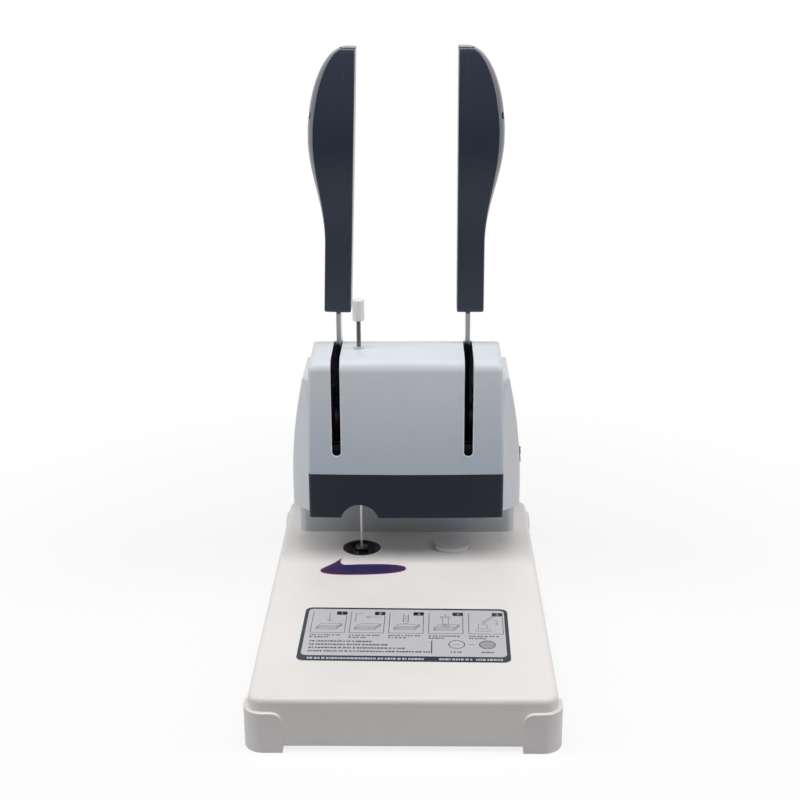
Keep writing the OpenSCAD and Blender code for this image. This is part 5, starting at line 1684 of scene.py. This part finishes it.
@dataclass
class RockerMarks(SubAssembly):
    """Plain line and ring moulded on the two halves of the rocker."""

    at: Point3 = (102.514, 95.0, 132.0)
    tilt: float = 3.528
    rest: float = 8.0
    slope: float = math.degrees(math.atan2(0.6, 6.5))
    reach: Point2 = (1.6, 3.4)
    bar: Box2 = (-1.3, -0.22, 1.3, 0.22)
    ring_r: float = 1.2
    ring_w: float = 0.4
    thick: float = 0.12

    def build(self) -> list[bpy.types.Object]:
        """Sets both marks on the rocker's face.

        Returns:
            The marks.
        """
        place = moved(*self.at) @ turned(-self.tilt, "Y") @ turned(-self.rest, "Z")
        out, along = self.reach
        front, rear = (place @ moved(out, sign * along, 0) @ turned(-sign * self.slope, "Z") @ turned(90, "Y")
                       for sign in (-1, 1))
        ring = [(self.ring_r * math.cos(a), self.ring_r * math.sin(a)) for a in turns(24)]
        marks = Shape().prism(rectangle(*self.bar), 0.0, self.thick, front)
        marks.stroke(ring, self.ring_w, 0.0, self.thick, closed=True, place=rear)
        return [settle(marks.object("rocker_marks", NYLON), "rocker")]


# ---------- dressing, camera and light ----------

def dress_solids() -> None:
    """Gives every solid its finish."""
    for finish, nodes in NODE_FINISHES.items():
        for name in nodes:
            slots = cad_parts[name].data.materials
            slots.clear()
            slots.append(finish.material())
    dressed = {name for nodes in NODE_FINISHES.values() for name in nodes}
    LOG.info("dressed %d solids, left bare: %s", len(dressed), sorted(set(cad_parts) - dressed))


@dataclass
class Studio:
    """Camera, lights, world and floor; the lamps' sizes and places and the floor's half side are metres."""

    eye: Point3 = (15.249, -1105.294, 584.925)
    pitch: float = 18.549
    yaw: float = 1.0019
    roll: float = -0.3206
    focal_px: float = 1395.06
    frame_px: float = 800.0
    sensor: float = 36.0
    key_size: Point2 = (1.4, 0.9)
    key_at: Point3 = (0.0, -0.38, 1.45)
    key_aim: Point3 = (0.0, 0.0, 0.1)
    key_power: float = 14.0
    side_size: Point2 = (0.5, 0.9)
    side_at: Point3 = (1.0, -0.15, 0.85)
    side_aim: Point3 = (0.0, 0.05, 0.25)
    side_power: float = 5.4
    front_gloss: float = 0.22
    backdrop: Point2 = (-0.5, 0.35)
    fill: float = 0.05
    fill_colour: Colour = (0.86, 0.93, 1.0)
    floor_half: float = 4.0
    floor_z: Point2 = (-20.0, -0.2)
    clip_end: float = 50.0

    def camera(self) -> None:
        """Sets the camera as the photograph's was."""
        p, y, r = (math.radians(a) for a in (self.pitch, self.yaw, self.roll))
        ahead = Vector((-math.sin(y) * math.cos(p), math.cos(y) * math.cos(p), -math.sin(p)))
        right = Vector((math.cos(y), math.sin(y), 0.0))
        up = right.cross(ahead)
        right, up = math.cos(r) * right + math.sin(r) * up, math.cos(r) * up - math.sin(r) * right
        lens = bpy.data.cameras.new("camera")
        lens.sensor_width = self.sensor
        lens.lens = self.focal_px * self.sensor / self.frame_px
        lens.clip_end = self.clip_end
        made = bpy.data.objects.new("camera", lens)
        axes = Matrix((right, up, -ahead)).transposed().to_4x4()
        made.matrix_world = Matrix.Translation(Vector(self.eye) * MM) @ axes
        bpy.context.scene.collection.objects.link(made)
        bpy.context.scene.camera = made

    def lamp(self, name: str, size: Point2, at: Point3, aim: Point3, power: float) -> None:
        """Hangs a soft box.

        Args:
            name: Its name.
            size: Its sides in metres.
            at: Its place in metres.
            aim: The point that it faces.
            power: Its power in watts.
        """
        light = bpy.data.lights.new(name, "AREA")
        light.shape, light.size, light.size_y, light.energy = "RECTANGLE", *size, power
        made = bpy.data.objects.new(name, light)
        made.location = at
        made.rotation_euler = (Vector(aim) - Vector(at)).to_track_quat("-Z", "Y").to_euler()
        bpy.context.scene.collection.objects.link(made)

    def world(self) -> None:
        """White for what the camera, gloss and glass see, and a weak cool fill for the rest."""
        world = bpy.data.worlds.new("studio")
        bpy.context.scene.world = world
        world.use_nodes = True
        graph = Graph(world.node_tree)
        white = graph.node("ShaderNodeBackground", inputs={"Color": WHITE, "Strength": 1.0})
        fill = graph.node("ShaderNodeBackground", inputs={"Color": self.fill_colour, "Strength": self.fill})
        chosen = graph.node("ShaderNodeMixShader", inputs={0: self.seen(graph), 1: fill, 2: white})
        graph.node("ShaderNodeOutputWorld", inputs={"Surface": chosen})

    def seen(self, graph: Graph) -> Signal:
        """Share of white that each ray sees: all for the camera, and for gloss and glass less of it in front.

        Args:
            graph: Graph of the world.

        Returns:
            The share.
        """
        camera, mirrored = graph.rays()
        towards = graph.node("ShaderNodeTexCoord", output="Generated")
        behind = graph.axis(towards, "Y").band(*self.backdrop)
        return camera + mirrored * (self.front_gloss + (1.0 - self.front_gloss) * behind)

    def floor(self) -> None:
        """Lays a pale floor that keeps the machine's shadow."""
        h = self.floor_half * MM_IN_METRE
        Shape().prism(rectangle(-h, -h, h, h), *self.floor_z).object("floor", FLOOR)

    def build(self) -> None:
        """Sets camera, floor, world and lights."""
        self.camera()
        self.floor()
        self.world()
        self.lamp("soft_box_top", self.key_size, self.key_at, self.key_aim, self.key_power)
        x, y, z = self.side_at
        for side in Side:
            self.lamp(f"soft_box_{side.name.lower()}", self.side_size, (side.value * x, y, z), self.side_aim,
                      self.side_power)
        bpy.context.scene.view_settings.view_transform = "Standard"


def screw_places(middle: float, reach: float, rows: Sequence[Point2], degrees: float) -> list[Matrix]:
    """Places of screws in two mirrored columns, from the Y and Z of their rows and their turn about X."""
    return [moved(middle + sign * reach, y, z) @ turned(degrees, "X") for sign in (-1, 1) for y, z in rows]


def main() -> None:
    """Dresses the solids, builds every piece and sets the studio."""
    logging.basicConfig(level=logging.INFO, format="%(message)s")
    dress_solids()
    rear = screw_places(0.0, 70.8, ((180.0, 56.0), (180.0, 139.0)), -90)
    below = screw_places(0.0, 99.0, ((-158.0, 4.0), (20.0, 4.0), (158.0, 4.0)), 180)
    inlet = screw_places(52.0, 20.0, ((195.0, 24.0),), -90)
    groups: list[SubAssembly] = [
        Grip(Side.LEFT, "rivet", arm_x=60.0, reach=11.5, lean=1.8),
        Grip(Side.RIGHT, "drill", arm_x=55.0, reach=10.0, lean=0.0),
        Screws("rear_cover_cross_screws", "machine", rear, "cover_screws", CrossScrew(shank=6.0)),
        Screws("base_plate_cross_screws", "machine", below, "base_screws", CrossScrew(shank=10.0)),
        Screws("inlet_cross_screws", "machine", inlet,
               screw=CrossScrew(head_r=2.6, head_h=1.5, shank_r=1.4, shank=2.5)),
        FrontCover(),
        ReturnSpring("rivet"),
        ReturnSpring("drill"),
        SlotLip("rivet_slot_lip", RIVET_SLOT),
        SlotLip("drill_slot_lip", DRILL_SLOT),
        PrintedSheet(),
        SpeechSticker(),
        RockerMarks(),
    ]
    for group in groups:
        for piece in group.build():
            LOG.info("%s: %s, %d faces", type(group).__name__, piece.name, len(piece.data.polygons))
    Studio().build()


if __name__ == "__main__":
    main()
